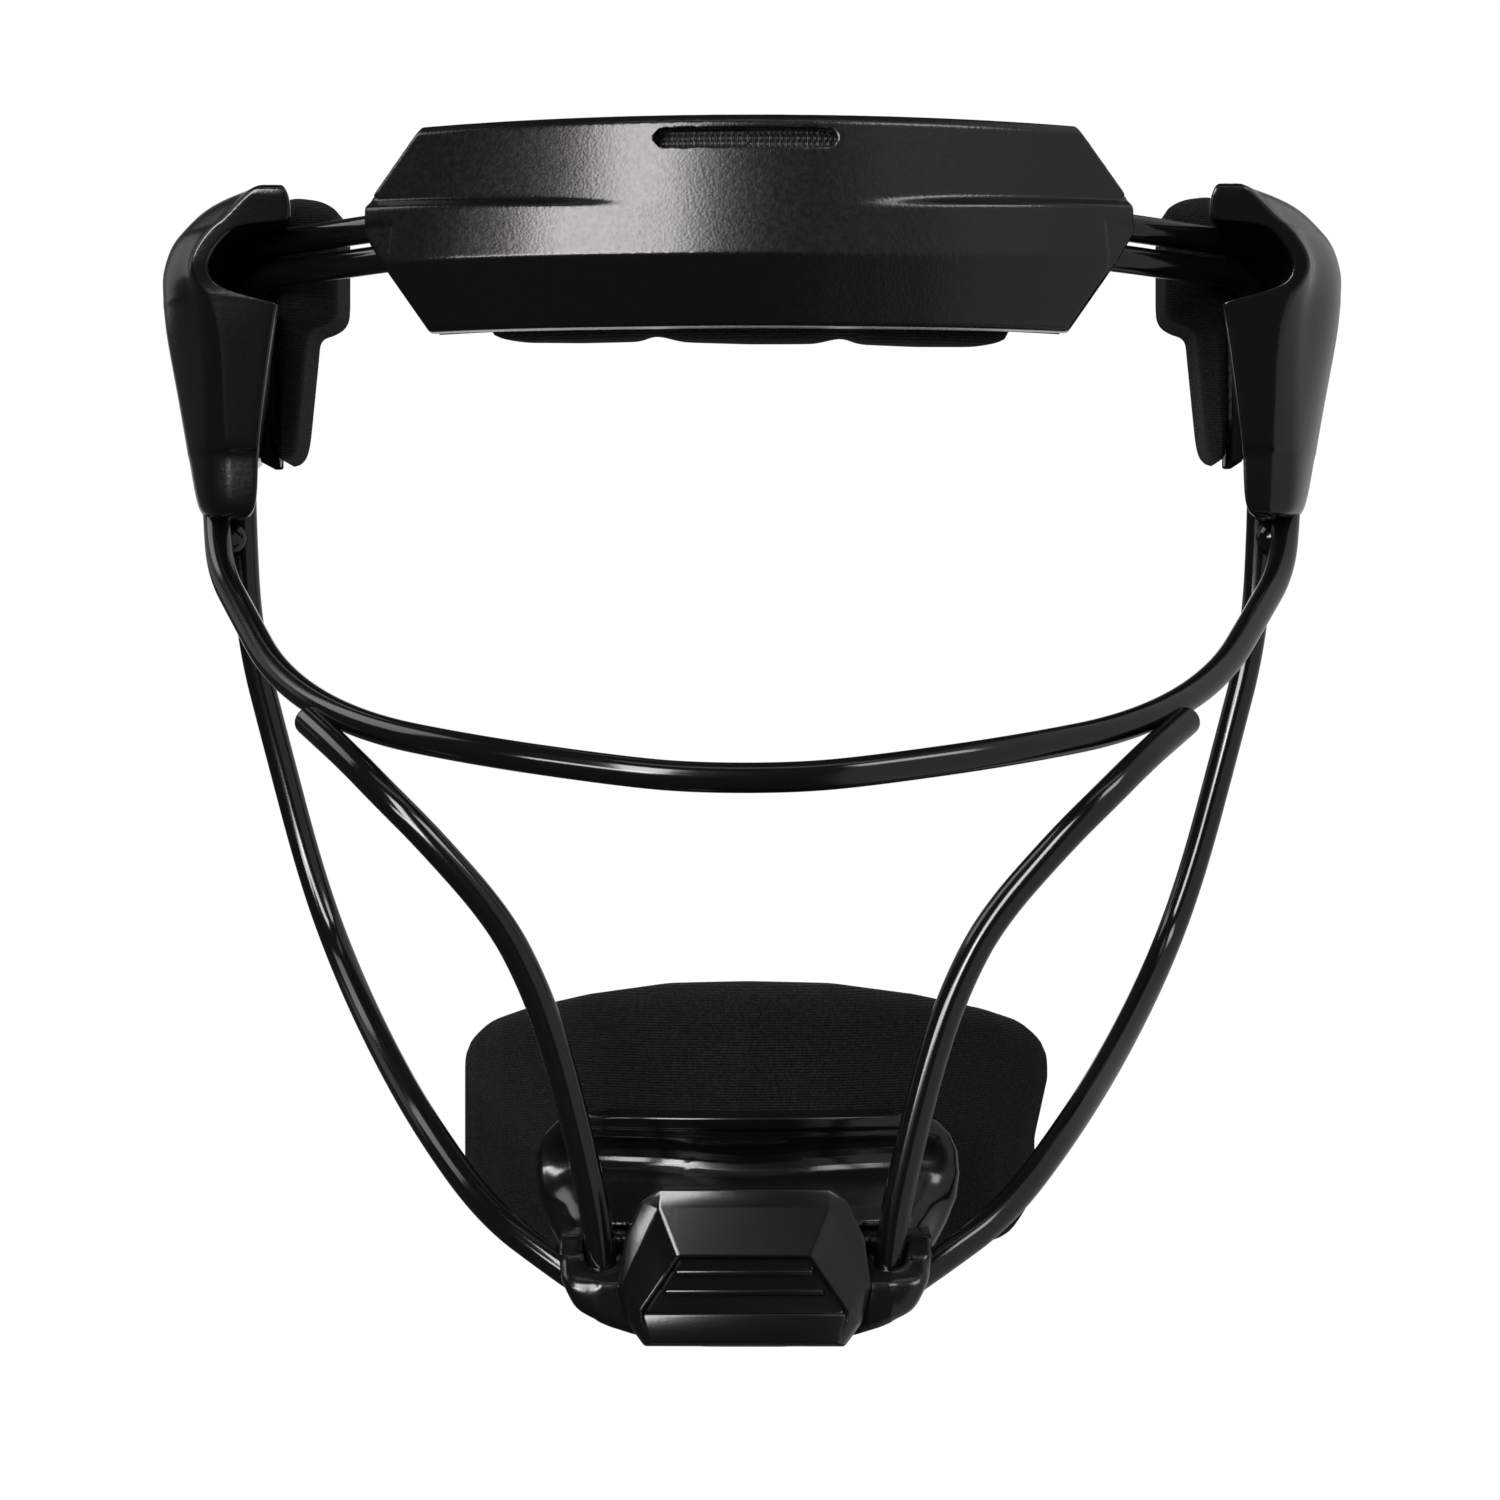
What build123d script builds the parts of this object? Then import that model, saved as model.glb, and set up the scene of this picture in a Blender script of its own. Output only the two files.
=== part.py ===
from build123d import *
import math
import os

# Fielder's face guard for softball, worn on the head over the brow, temples and chin.
# X points to the wearer's left, Y back towards the head and Z up. The origin lies on the
# head's upright axis, in the plane where the guard ends behind, level with the eye bar.

# Wires
wire_diameter = 4.8
wire_fit = 0.05
bend_share = 0.45

# Brow wires, two parallel arcs that turn down inside the temple shells
temple_corner_y = -42.2
brow_wire_radius = 104.0
brow_wrap = 40.0
brow_wire_z = 82.5
brow_wire_gap = 0.4
brow_wire_rise = 4.0
temple_bend_radius = 9.0
eye_leg_top_x = 96.0
jaw_leg_top_x = 89.0
leg_joint_z = 56.0
brow_reach = brow_wire_radius / math.cos(math.radians(brow_wrap))
brow_slope = math.tan(math.radians(brow_wrap))
brow_centre_y = temple_corner_y + brow_reach - eye_leg_top_x * brow_slope

# Eye bar, from its leg's foot inside the temple shell round the front of the face
eye_leg_x = 93.8
eye_leg_y = -48.0
leg_foot_z = 42.0
eye_bar_y = -140.2
eye_bar_z = -4.3
eye_bar_shares = (
    (0.085, 0.0, 0.0),
    (0.213, 0.018, 0.024),
    (0.458, 0.111, 0.093),
    (0.672, 0.290, 0.201),
    (0.832, 0.534, 0.369),
    (0.922, 0.751, 0.600),
    (0.979, 0.892, 0.762),
    (1.0, 1.0, 1.0),
)

# Jaw wire, from its leg's foot down the jaw and round under the chin
jaw_leg_x = 89.6
jaw_leg_y = -44.4
chin_wire_y = -122.2
chin_wire_z = -87.5
jaw_wire_shares = (
    (0.240, 0.0, 0.0),
    (0.335, 0.032, 0.042),
    (0.463, 0.118, 0.100),
    (0.586, 0.324, 0.193),
    (0.698, 0.671, 0.282),
    (0.798, 0.934, 0.390),
    (0.865, 0.999, 0.506),
    (0.932, 1.018, 0.676),
    (0.989, 1.012, 0.830),
    (1.0, 1.0, 1.0),
)

# Front wires, from the chin bracket up to the eye bar
front_wire_foot_x = 22.3
front_wire_foot_z = -85.5
front_wire_top_x = 72.3
front_wire_top_y = -105.1
front_wire_top_z = 4.65
front_wire_shares = (
    (0.0, 0.0, 0.0),
    (0.012, 0.0, 0.093),
    (0.058, -0.013, 0.224),
    (0.144, -0.020, 0.415),
    (0.224, -0.020, 0.541),
    (0.334, -0.020, 0.656),
    (0.554, 0.0, 0.792),
    (0.702, 0.116, 0.866),
    (0.838, 0.431, 0.934),
    (1.0, 1.0, 1.0),
)

# Welds
weld_radius = 3.3
front_weld_x = 69.6
front_weld_y = -105.4
front_weld_z = 5.6
foot_weld_radius = 2.8
foot_weld_inset = 0.5
foot_weld_forward = 0.4
foot_weld_lift = 0.2
brow_weld_radius = 2.3
brow_weld_angle = 20.0
brow_weld_rise = 2.1

# Forehead shell, a faceted cover: its face leans out to a crease, then back in
shell_wall = 2.5
shell_stand_off = 9.0
shell_crease_radius = brow_wire_radius + shell_stand_off
shell_wrap_angle = 60.0
shell_top_lean = 3.0
shell_bottom_lean = 5.5
shell_height = 35.0
shell_bottom_drop = 13.5
shell_bottom_z = brow_wire_z - shell_bottom_drop
shell_top_z = shell_bottom_z + shell_height
shell_crease_rise = 12.6
shell_crease_z = shell_bottom_z + shell_crease_rise

shell_tip_rise = 20.2
shell_tip_z = shell_bottom_z + shell_tip_rise
shell_tip_x = 64.6
shell_top_half_width = 55.0
shell_bottom_half_width = 53.5
shell_edge_chamfer = 1.2
shell_tip_flat = 2.6
ledge_start_x = 21.0
ledge_height = 21.3
ledge_start_z = shell_bottom_z + ledge_height
ledge_rise = 2.6
ledge_drop = 21.0
vent_length = 29.0
vent_height = 2.6
vent_drop = 3.8
vent_z = shell_top_z - vent_drop
mesh_margin = 1.6
mesh_thickness = 0.8
mesh_columns = 16
mesh_rows = 2
mesh_hole_share = 0.6

# Backing plate and its screws
backing_thickness = 2.0
backing_inset = 1.6
brow_screw_x = 50.8
brow_screw_edge = 7.4
boss_radius = 2.9
screw_shaft_radius = 1.5
screw_length = 8.0
screw_head_radius = 2.8
screw_head_height = 1.8
screw_socket_radius = 1.1
screw_socket_depth = 1.1
screw_fit = 0.05
screw_socket_width = 0.7
screw_head_taper = 20.0

# Hook tape and pads
tape_thickness = 0.9
pad_corner_share = 0.45
brow_pad_thickness = 12.0
brow_pad_angle = 27.0
brow_pad_overhang = 1.6
brow_pad_low_z = shell_bottom_z - brow_pad_overhang
brow_pad_height = 32.1
brow_pad_high_z = brow_pad_low_z + brow_pad_height
brow_pad_corner = 3.4
brow_channel_angle = 9.5
brow_channel_width = 2.4
brow_channel_share = 0.72
brow_cushion_share = 0.96
brow_end_share = 0.93
brow_tape_margin = 4.0

# Temple shells
temple_front_y = -66.0
temple_rear_y = -4.0
temple_inner_gap = 4.5
temple_inner_x = jaw_leg_top_x - temple_inner_gap
temple_nose_step = 3.0
temple_nose_x = temple_inner_x - temple_nose_step
temple_nose_y = -50.0
temple_bulge = 8.0
temple_bulge_x = eye_leg_top_x + temple_bulge
temple_bulge_y = -44.0
temple_shoulder_step = 2.0
temple_shoulder_x = temple_bulge_x - temple_shoulder_step
temple_shoulder_y = -30.0
temple_tab_thickness = 6.5
temple_tab_x = temple_inner_x + temple_tab_thickness
temple_tab_y = -20.0
temple_low_ridge = 5.9
temple_low_ridge_x = temple_inner_x + temple_low_ridge
temple_high_ridge = 10.9
temple_high_ridge_x = temple_inner_x + temple_high_ridge
temple_rise = 14.5
temple_top_z = brow_wire_z + temple_rise
temple_foot_overlap = 2.2
temple_bottom_z = leg_foot_z - temple_foot_overlap
temple_wall = 2.4
# Half of the front outline, from the inner foot round the outside, as shares of
# the way from the inner plate to the bulge and from the foot to the top
temple_outline_shares = (
    (0.015, 0.02),
    (0.144, 0.0),
    (0.297, 0.023),
    (0.456, 0.038),
    (0.641, 0.065),
    (0.723, 0.108),
    (0.81, 0.292),
    (0.928, 0.537),
    (0.99, 0.662),
    (1.0, 0.724),
    (0.97, 0.785),
    (0.913, 0.847),
    (0.80, 0.909),
    (0.62, 0.948),
    (0.371, 0.975),
    (0.221, 0.986),
    (0.051, 0.995),
    (-0.17, 0.995),
    (-0.28, 0.984),
    (-0.35, 0.90),
    (-0.18, 0.68),
    (-0.06, 0.34),
)
temple_boss_shares = (
    (0.19, 0.63),
    (0.456, 0.63),
    (0.59, 0.76),
    (0.575, 0.83),
    (0.40, 0.895),
    (0.20, 0.975),
    (-0.20, 0.975),
    (-0.20, 0.63),
)
# The side view, as shares of the way from the front to the rear and from the foot to the top
temple_side_shares = (
    (0.0, 0.0),
    (0.62, 0.0),
    (0.80, 0.16),
    (1.0, 0.24),
    (1.0, 0.80),
    (0.80, 0.88),
    (0.55, 1.0),
    (0.0, 1.0),
)
# The opening that the brow wires come in by, as shares of the same front outline
wire_window_shares = (
    (-0.5, 0.640),
    (0.174, 0.675),
    (0.323, 0.691),
    (0.374, 0.727),
    (0.33, 0.800),
    (0.15, 0.888),
    (0.0, 0.895),
    (-0.5, 0.92),
)
window_reach = 24.0
front_panel_raise = 1.1
front_panel_shares = (
    (0.0, 0.205),
    (0.205, 0.205),
    (0.246, 0.24),
    (0.28, 0.622),
    (0.0, 0.600),
)
temple_plate_thickness = 1.8
temple_plate_shares = (
    (-0.4, 0.085),
    (0.4, 0.085),
    (0.4, 0.92),
    (-0.4, 0.92),
)
temple_screw_y = -30.0
temple_screw_spacing = 30.0
temple_screw_rise = 28.7
temple_screw_z = temple_bottom_z + temple_screw_rise
strap_slot_length = 26.0
strap_slot_width = 5.0
strap_slot_edge = 4.0
strap_slot_rise = 29.7
strap_slot_z = temple_bottom_z + strap_slot_rise
temple_void_rear_y = -25.0

# Temple pads: a thick upper lobe and a thinner lower one
temple_pad_front_y = -48.0
temple_pad_rear_y = -18.5
upper_lobe_rise = 34.2
upper_lobe_low_z = temple_bottom_z + upper_lobe_rise
upper_lobe_drop = 0.6
upper_lobe_high_z = temple_top_z - upper_lobe_drop
upper_lobe_thickness = 10.8
lower_lobe_rise = 10.6
lower_lobe_low_z = temple_bottom_z + lower_lobe_rise
lower_lobe_thickness = 5.6
lobe_overlap = 1.2
lobe_corner = 5.0
lobe_crown = 3.0
lobe_waist = 1.0
# Rows of a lobe from its base: depth and how far the outline is drawn in
lobe_shares = (
    (0.0, 0.33),
    (0.3, 0.0),
    (0.72, 0.2),
    (0.93, 0.6),
    (1.0, 1.0),
)
temple_tape_margin = 4.0

# Chin bracket and its clamp
bracket_half_width = 29.4
bracket_rise = 10.6
bracket_top_z = chin_wire_z + bracket_rise
bracket_side_drop = 5.3
bracket_side_z = bracket_top_z - bracket_side_drop
bracket_hip_x = 26.6
bracket_hip_drop = 11.0
bracket_hip_z = bracket_top_z - bracket_hip_drop
bracket_height = 16.9
bracket_bottom_z = bracket_top_z - bracket_height
# The bracket's rounded underside from hip to middle: share of the hip's width, and of the drop
bracket_foot_shares = (
    (0.8, 0.4),
    (0.55, 0.75),
    (0.25, 1.0),
)
bracket_front_depth = 12.3
bracket_front_y = chin_wire_y - bracket_front_depth
bracket_rear_depth = 18.2
bracket_rear_y = chin_wire_y + bracket_rear_depth
bracket_round = 1.6
shoulder_drop = 6.6
shoulder_z = bracket_top_z - shoulder_drop
shoulder_depth = 8.5
shoulder_y = bracket_front_y + shoulder_depth
shoulder_inner_x = 15.0
clamp_screw_edge = 3.2
clamp_screw_x = bracket_half_width - clamp_screw_edge
clamp_screw_drop = 2.2
clamp_screw_z = bracket_top_z - clamp_screw_drop
clamp_screw_reach = 3.4
clamp_screw_tip_y = chin_wire_y - clamp_screw_reach
clamp_screw_radius = 1.2
clamp_head_radius = 2.2
clamp_head_height = 1.6

# Tongue of the chin cup, in its channel
tongue_half_width = 16.0
tongue_drop = 2.1
tongue_top_z = bracket_top_z - tongue_drop
tongue_thickness = 4.0
tongue_bottom_z = tongue_top_z - tongue_thickness

slide_gap = 0.3
cup_foot_z = bracket_top_z + slide_gap
serration_depth = 0.6
serration_pitch = 2.5
serration_width = 1.3

# Chin cup and pad, round their own upright axis
riser_depth = 3.4
chin_pad_radius = 53.4
cup_gap = 0.3
riser_front_y = bracket_rear_y + slide_gap
chin_centre_y = riser_front_y + riser_depth + cup_gap + chin_pad_radius
chin_pad_thickness = 14.0
chin_pad_angle = 67.0
chin_pad_overhang = 1.8
chin_pad_height = 40.2
chin_pad_bottom_z = cup_foot_z - chin_pad_overhang
chin_pad_top_z = chin_pad_bottom_z + chin_pad_height
chin_pad_corner = 5.4
# Pad stations from the middle out: turn, drop of the top, lift of the bottom and thickness
chin_pad_shares = (
    (0.0, 0.0, 0.0, 1.0),
    (0.25, 0.01, 0.0, 1.0),
    (0.5, 0.06, 0.0, 0.98),
    (0.75, 0.13, 0.01, 0.94),
    (0.90, 0.18, 0.03, 0.88),
    (0.97, 0.23, 0.08, 0.78),
    (1.0, 0.30, 0.16, 0.60),
)
cup_wall = 2.3
cup_back_radius = chin_pad_radius + cup_gap + tape_thickness
cup_flange_depth = 11.4
cup_flange_radius = cup_back_radius + cup_flange_depth
cup_waist_depth = 7.4
cup_waist_radius = cup_back_radius + cup_waist_depth
cup_foot_depth = 16.4
cup_foot_radius = cup_back_radius + cup_foot_depth
cup_height = 18.0
cup_flange_z = cup_foot_z + cup_height
cup_angle = 42.0
cup_hollow_angle = 33.0
cup_tape_angle = 33.0
cup_outline_shares = (
    (0.0, 0.0),
    (0.82, 0.0),
    (1.0, 0.33),
    (0.96, 0.64),
    (0.87, 1.0),
    (0.0, 1.0),
)
cup_half_width = 36.0
# The cup's concave front between foot and flange: radius from the waist out, and height
cup_front_shares = (
    (0.35, 0.34),
    (0.0, 0.55),
    (0.18, 0.75),
)
cup_tape_margin = 3.0
cup_travel = 10.0

# Latch, a rocker on a cross pin, with a shoe behind that bears on the tongue
latch_top_half_width = 14.0
latch_wide_half_width = 18.9
latch_foot_half_width = 15.8
latch_rise = 8.1
latch_top_z = bracket_top_z + latch_rise
latch_wide_drop = 7.6
latch_wide_z = bracket_top_z - latch_wide_drop
latch_foot_rise = 1.1
latch_foot_z = bracket_bottom_z + latch_foot_rise
latch_stand_out = 1.8
latch_front_y = bracket_front_y - latch_stand_out
latch_thickness = 2.4
latch_corner = 1.8
latch_gap = 0.4
latch_face_inset = 1.2
latch_face_raise = 0.7
latch_bar_depth = 0.9
latch_bar_height = 1.0
latch_bar_drop = 4.3
latch_bar_z = bracket_top_z - latch_bar_drop
latch_bar_pitch = 2.9
latch_bar_half_width = 11.0
latch_foot_bar_height = 4.4
latch_swing = 8.0
recess_depth = 4.0
recess_floor_y = bracket_front_y + recess_depth
pin_depth = 1.7
pin_y = recess_floor_y + pin_depth
pin_drop = 0.4
pin_z = tongue_top_z - pin_drop
tongue_front_gap = 2.3
tongue_front_y = pin_y + tongue_front_gap
pin_radius = 1.0
pin_half_length = 13.0
pin_fit = 0.05
arm_half_width = 7.4
arm_gap = 0.4
arm_thickness = 1.6
arm_length = 15.2
arm_tip_y = pin_y + arm_length
shoe_length = 3.0
shoe_gap = 0.1

# Latch spring
spring_drop = 7.6
spring_z = pin_z - spring_drop
spring_radius = 2.0
spring_wire = 0.6
spring_pocket_radius = 2.8
spring_pocket_depth = 5.2


overrun = 20.0


def mixed(start, end, share):
    """The value a share of the way from start to end."""
    return start + (end - start) * share


def routed(start, end, shares):
    """Points of a route, from shares of the way between its two ends along X, Y and Z."""
    return [
        tuple(mixed(a, b, share) for a, b, share in zip(start, end, point))
        for point in shares
    ]


def flipped(points):
    """The same points on the other side of the guard, in reverse order."""
    return [(-x, y, z) for x, y, z in reversed(points)]


def bend_radii(points):
    """For each corner of a route, the radius that its shorter run has room for."""
    radii = []
    for before, corner, after in zip(points, points[1:], points[2:]):
        run_in = Vector(*corner) - Vector(*before)
        run_out = Vector(*after) - Vector(*corner)
        turn = math.radians(run_in.get_angle(run_out))
        shorter = min(run_in.length, run_out.length)
        radii.append(bend_share * shorter / math.tan(turn / 2))
    return radii


def bent_wire(points, radii, diameter):
    """A round wire along straight runs joined by tangent arcs."""
    with BuildPart() as wire:
        with BuildLine() as route:
            FilletPolyline(*points, radius=radii)
        with BuildSketch(Plane(origin=route.line @ 0, z_dir=route.line % 0)):
            Circle(diameter / 2)
        sweep(path=route.line)
    return wire.part


def radial_plane(centre_y, angle):
    """An upright plane through the axis at centre_y. Its X is the radius, its Y is up."""
    turn = math.radians(angle)
    return Plane(
        origin=(0, centre_y, 0),
        x_dir=(math.sin(turn), -math.cos(turn), 0),
        z_dir=(-math.cos(turn), -math.sin(turn), 0),
    )


def outward_plane(centre_y, angle, radius, height):
    """A plane on a point of a cylinder round centre_y, facing outwards."""
    turn = math.radians(angle)
    return Plane(
        origin=(radius * math.sin(turn), centre_y - radius * math.cos(turn), height),
        x_dir=(math.cos(turn), math.sin(turn), 0),
        z_dir=(math.sin(turn), -math.cos(turn), 0),
    )


def turned_ring(centre_y, profile, half_angle):
    """A profile in radius and height, turned about centre_y to both sides of the middle."""
    with BuildPart() as ring:
        with BuildSketch(radial_plane(centre_y, -half_angle)):
            with BuildLine():
                Polyline(*profile, close=True)
            make_face()
        revolve(axis=Axis((0, centre_y, 0), (0, 0, 1)), revolution_arc=2 * half_angle)
    return ring.part


def front_prism(points, near_y, far_y, corner=0):
    """A front outline, extruded from near_y back to far_y."""
    with BuildPart() as prism:
        with BuildSketch(Plane.XZ.offset(-far_y)) as outline:
            with BuildLine():
                Polyline(*points, close=True)
            make_face()
            if corner:
                fillet(outline.vertices(), corner)
        extrude(amount=far_y - near_y)
    return prism.part


def mirrored_points(points):
    """A half outline from the middle round one side, closed with the other side."""
    return list(points) + [(-x, z) for x, z in reversed(points)]


def arc_pad(centre_y, outer_radius, thickness, stations, corner):
    """A cushion lofted round an upright axis. A station is a turn, its lowest and
    highest points and the share of the thickness that it has."""
    with BuildPart() as pad:
        for angle, low, high, share in stations:
            depth = thickness * share
            middle = outer_radius - depth / 2
            with BuildSketch(radial_plane(centre_y, angle)):
                with Locations((middle, (low + high) / 2)):
                    RectangleRounded(depth, high - low, min(corner, depth * pad_corner_share))
        loft(ruled=True)
    return pad.part


# Routes of the wires on the wearer's left
brow_apex_y = brow_centre_y - brow_reach
upper_wire_z = brow_wire_z + wire_diameter + brow_wire_gap


def brow_route(leg_top_x, height, foot):
    """Both halves of a brow wire, and where it joins the leg below it."""
    corner = (leg_top_x, brow_apex_y + leg_top_x * brow_slope, height)
    down = (height - leg_joint_z) / (height - foot[2])
    joint = tuple(mixed(a, b, down) for a, b in zip(corner, foot))
    half = [corner, joint]
    return flipped(half) + [(0, brow_apex_y, height + brow_wire_rise)] + half, joint


eye_leg_foot = (eye_leg_x, eye_leg_y, leg_foot_z)
jaw_leg_foot = (jaw_leg_x, jaw_leg_y, leg_foot_z)
upper_route, eye_joint = brow_route(eye_leg_top_x, upper_wire_z, eye_leg_foot)
lower_route, jaw_joint = brow_route(jaw_leg_top_x, brow_wire_z, jaw_leg_foot)
brow_radii = [temple_bend_radius, brow_wire_radius, temple_bend_radius]

eye_half = routed((0, eye_bar_y, eye_bar_z), eye_leg_foot, eye_bar_shares) + [eye_joint]
eye_route = flipped(eye_half) + eye_half
jaw_half = routed((0, chin_wire_y, chin_wire_z), jaw_leg_foot, jaw_wire_shares) + [jaw_joint]
jaw_route = flipped(jaw_half) + jaw_half
front_wire_foot = (front_wire_foot_x, chin_wire_y - wire_diameter, front_wire_foot_z)
front_wire_top = (front_wire_top_x, front_wire_top_y, front_wire_top_z)
front_route = routed(front_wire_foot, front_wire_top, front_wire_shares)


# Wires
with BuildPart() as forehead_wire_upper:
    add(bent_wire(upper_route, brow_radii, wire_diameter))

with BuildPart() as forehead_wire_lower:
    add(bent_wire(lower_route, brow_radii, wire_diameter))

with BuildPart() as eye_bar:
    add(bent_wire(eye_route, bend_radii(eye_route), wire_diameter))

with BuildPart() as jaw_wire:
    add(bent_wire(jaw_route, bend_radii(jaw_route), wire_diameter))

with BuildPart() as front_wire_left:
    add(bent_wire(front_route, bend_radii(front_route), wire_diameter))

with BuildPart() as front_wire_right:
    add(front_wire_left.part)
    mirror(about=Plane.YZ, mode=Mode.REPLACE)


# Forehead shell
def shell_profile(inset, lean, back_radius):
    """The shell's upright section, moved in by a wall."""
    crease = shell_crease_radius - inset - lean
    top = crease - shell_top_lean
    bottom = crease - shell_bottom_lean
    trim = shell_edge_chamfer
    return [
        (back_radius, shell_bottom_z + inset),
        (bottom, shell_bottom_z + inset),
        (crease, shell_crease_z),
        (top, shell_top_z - inset - trim),
        (top - trim, shell_top_z - inset),
        (back_radius, shell_top_z - inset),
    ]


shell_outline = mirrored_points(
    [
        (shell_bottom_half_width, shell_bottom_z),
        (shell_tip_x, shell_tip_z - shell_tip_flat),
        (shell_tip_x, shell_tip_z + shell_tip_flat),
        (shell_top_half_width, shell_top_z),
    ]
)
backing_radius = brow_wire_radius - wire_diameter / 2 - wire_fit


def outline_prism(inset):
    """The shell's front outline as a prism, with its edge moved in."""
    with BuildPart() as prism:
        with BuildSketch(Plane.XZ):
            with BuildLine():
                Polyline(*shell_outline, close=True)
            make_face()
            if inset:
                offset(amount=-inset, kind=Kind.INTERSECTION, mode=Mode.REPLACE)
        extrude(amount=shell_crease_radius)
    return prism.part


# The side panels below each ledge follow a tighter curve than the middle of the face
ledge_turn = math.asin(ledge_start_x / shell_crease_radius)
ledge_slope = ledge_rise / (shell_tip_x - ledge_start_x)
ledge_far_x = shell_tip_x + overrun
ledge_far_z = ledge_start_z + (ledge_far_x - ledge_start_x) * ledge_slope
side_panel_x = ledge_drop * math.sin(ledge_turn)
side_panel_y = brow_centre_y - ledge_drop * math.cos(ledge_turn)


def side_recess(inset):
    """What the left side panel leaves out of the face, below the ledge."""
    with BuildPart() as recess:
        with BuildSketch(Plane.XZ):
            with BuildLine():
                Polyline(
                    (ledge_start_x, ledge_start_z - inset),
                    (ledge_far_x, ledge_far_z - inset),
                    (ledge_far_x, shell_bottom_z - overrun),
                    (ledge_start_x, shell_bottom_z - overrun),
                    close=True,
                )
            make_face()
        extrude(amount=shell_crease_radius + overrun)
        panel = turned_ring(0, shell_profile(inset, ledge_drop, wire_diameter), 2 * shell_wrap_angle)
        add(panel.moved(Location((side_panel_x, side_panel_y, 0))), mode=Mode.SUBTRACT)
    return recess.part


def shell_block(inset, back_radius):
    """The whole shell, solid, moved in by a wall."""
    with BuildPart() as block:
        add(turned_ring(brow_centre_y, shell_profile(inset, 0, back_radius), shell_wrap_angle))
        add(outline_prism(inset), mode=Mode.INTERSECT)
        add(side_recess(inset), mode=Mode.SUBTRACT)
        add(mirror(side_recess(inset), about=Plane.YZ, mode=Mode.PRIVATE), mode=Mode.SUBTRACT)
    return block.part


brow_screw_angle = math.degrees(math.asin(brow_screw_x / backing_radius))
brow_screw_places = [
    outward_plane(brow_centre_y, side * brow_screw_angle, backing_radius, height)
    for side in (-1, 1)
    for height in (shell_bottom_z + brow_screw_edge, shell_top_z - brow_screw_edge)
]
band_front_radius = brow_wire_radius + wire_diameter / 2 + wire_fit
band_low_z = brow_wire_z - wire_diameter / 2
band_high_z = upper_wire_z + brow_wire_rise + wire_diameter / 2
wire_band = [
    (backing_radius - shell_wall, band_low_z),
    (band_front_radius, band_low_z),
    (band_front_radius, band_high_z),
    (backing_radius - shell_wall, band_high_z),
]


def posts(places, length, limit):
    """Screw posts inside a shell, cut to the shell's outside."""
    with BuildPart() as post:
        for place in places:
            with BuildSketch(place):
                Circle(boss_radius)
            extrude(amount=length)
        add(limit, mode=Mode.INTERSECT)
    return post.part


solid_shell = shell_block(0, backing_radius)
with BuildPart() as forehead_shell:
    add(solid_shell)
    add(shell_block(shell_wall, backing_radius - shell_wall), mode=Mode.SUBTRACT)
    add(posts(brow_screw_places, shell_crease_radius - backing_radius, solid_shell))
    add(turned_ring(brow_centre_y, wire_band, shell_wrap_angle), mode=Mode.SUBTRACT)
    for place in brow_screw_places:
        with BuildSketch(place):
            Circle(screw_shaft_radius + screw_fit)
        extrude(amount=screw_length - backing_thickness, mode=Mode.SUBTRACT)
    with BuildSketch(Plane.XZ.offset(brow_wire_radius - brow_centre_y)):
        with Locations((0, vent_z)):
            SlotOverall(vent_length, vent_height)
    extrude(amount=overrun, mode=Mode.SUBTRACT)

mesh_radius = shell_crease_radius - shell_top_lean - shell_wall - shell_edge_chamfer
mesh_half_angle = math.degrees((vent_length / 2 + mesh_margin) / mesh_radius)
mesh_low_z = vent_z - vent_height / 2 - mesh_margin
mesh_high_z = shell_top_z - shell_wall - wire_fit
mesh_hole_pitch = 2 * mesh_half_angle / (mesh_columns + 1)
mesh_hole = mesh_hole_share * math.radians(mesh_hole_pitch) * mesh_radius

with BuildPart() as vent_mesh:
    add(
        turned_ring(
            brow_centre_y,
            [
                (mesh_radius - mesh_thickness, mesh_low_z),
                (mesh_radius, mesh_low_z),
                (mesh_radius, mesh_high_z),
                (mesh_radius - mesh_thickness, mesh_high_z),
            ],
            mesh_half_angle,
        )
    )
    for column in range(mesh_columns):
        turn = (column + 1) * mesh_hole_pitch - mesh_half_angle
        hole_plane = outward_plane(brow_centre_y, turn, mesh_radius, (mesh_low_z + mesh_high_z) / 2)
        with BuildSketch(hole_plane):
            with GridLocations(0, (mesh_high_z - mesh_low_z) / (mesh_rows + 1), 1, mesh_rows):
                Rectangle(mesh_hole, mesh_hole)
        extrude(amount=shell_wall, both=True, mode=Mode.SUBTRACT)

backing_rear_radius = backing_radius - backing_thickness
with BuildPart() as forehead_backing:
    add(
        turned_ring(
            brow_centre_y,
            [
                (backing_rear_radius, shell_bottom_z),
                (backing_radius, shell_bottom_z),
                (backing_radius, shell_top_z),
                (backing_rear_radius, shell_top_z),
            ],
            shell_wrap_angle,
        )
    )
    add(outline_prism(backing_inset), mode=Mode.INTERSECT)
    for place in brow_screw_places:
        with BuildSketch(place):
            Circle(screw_shaft_radius + screw_fit)
        extrude(amount=shell_wall, both=True, mode=Mode.SUBTRACT)


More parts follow.
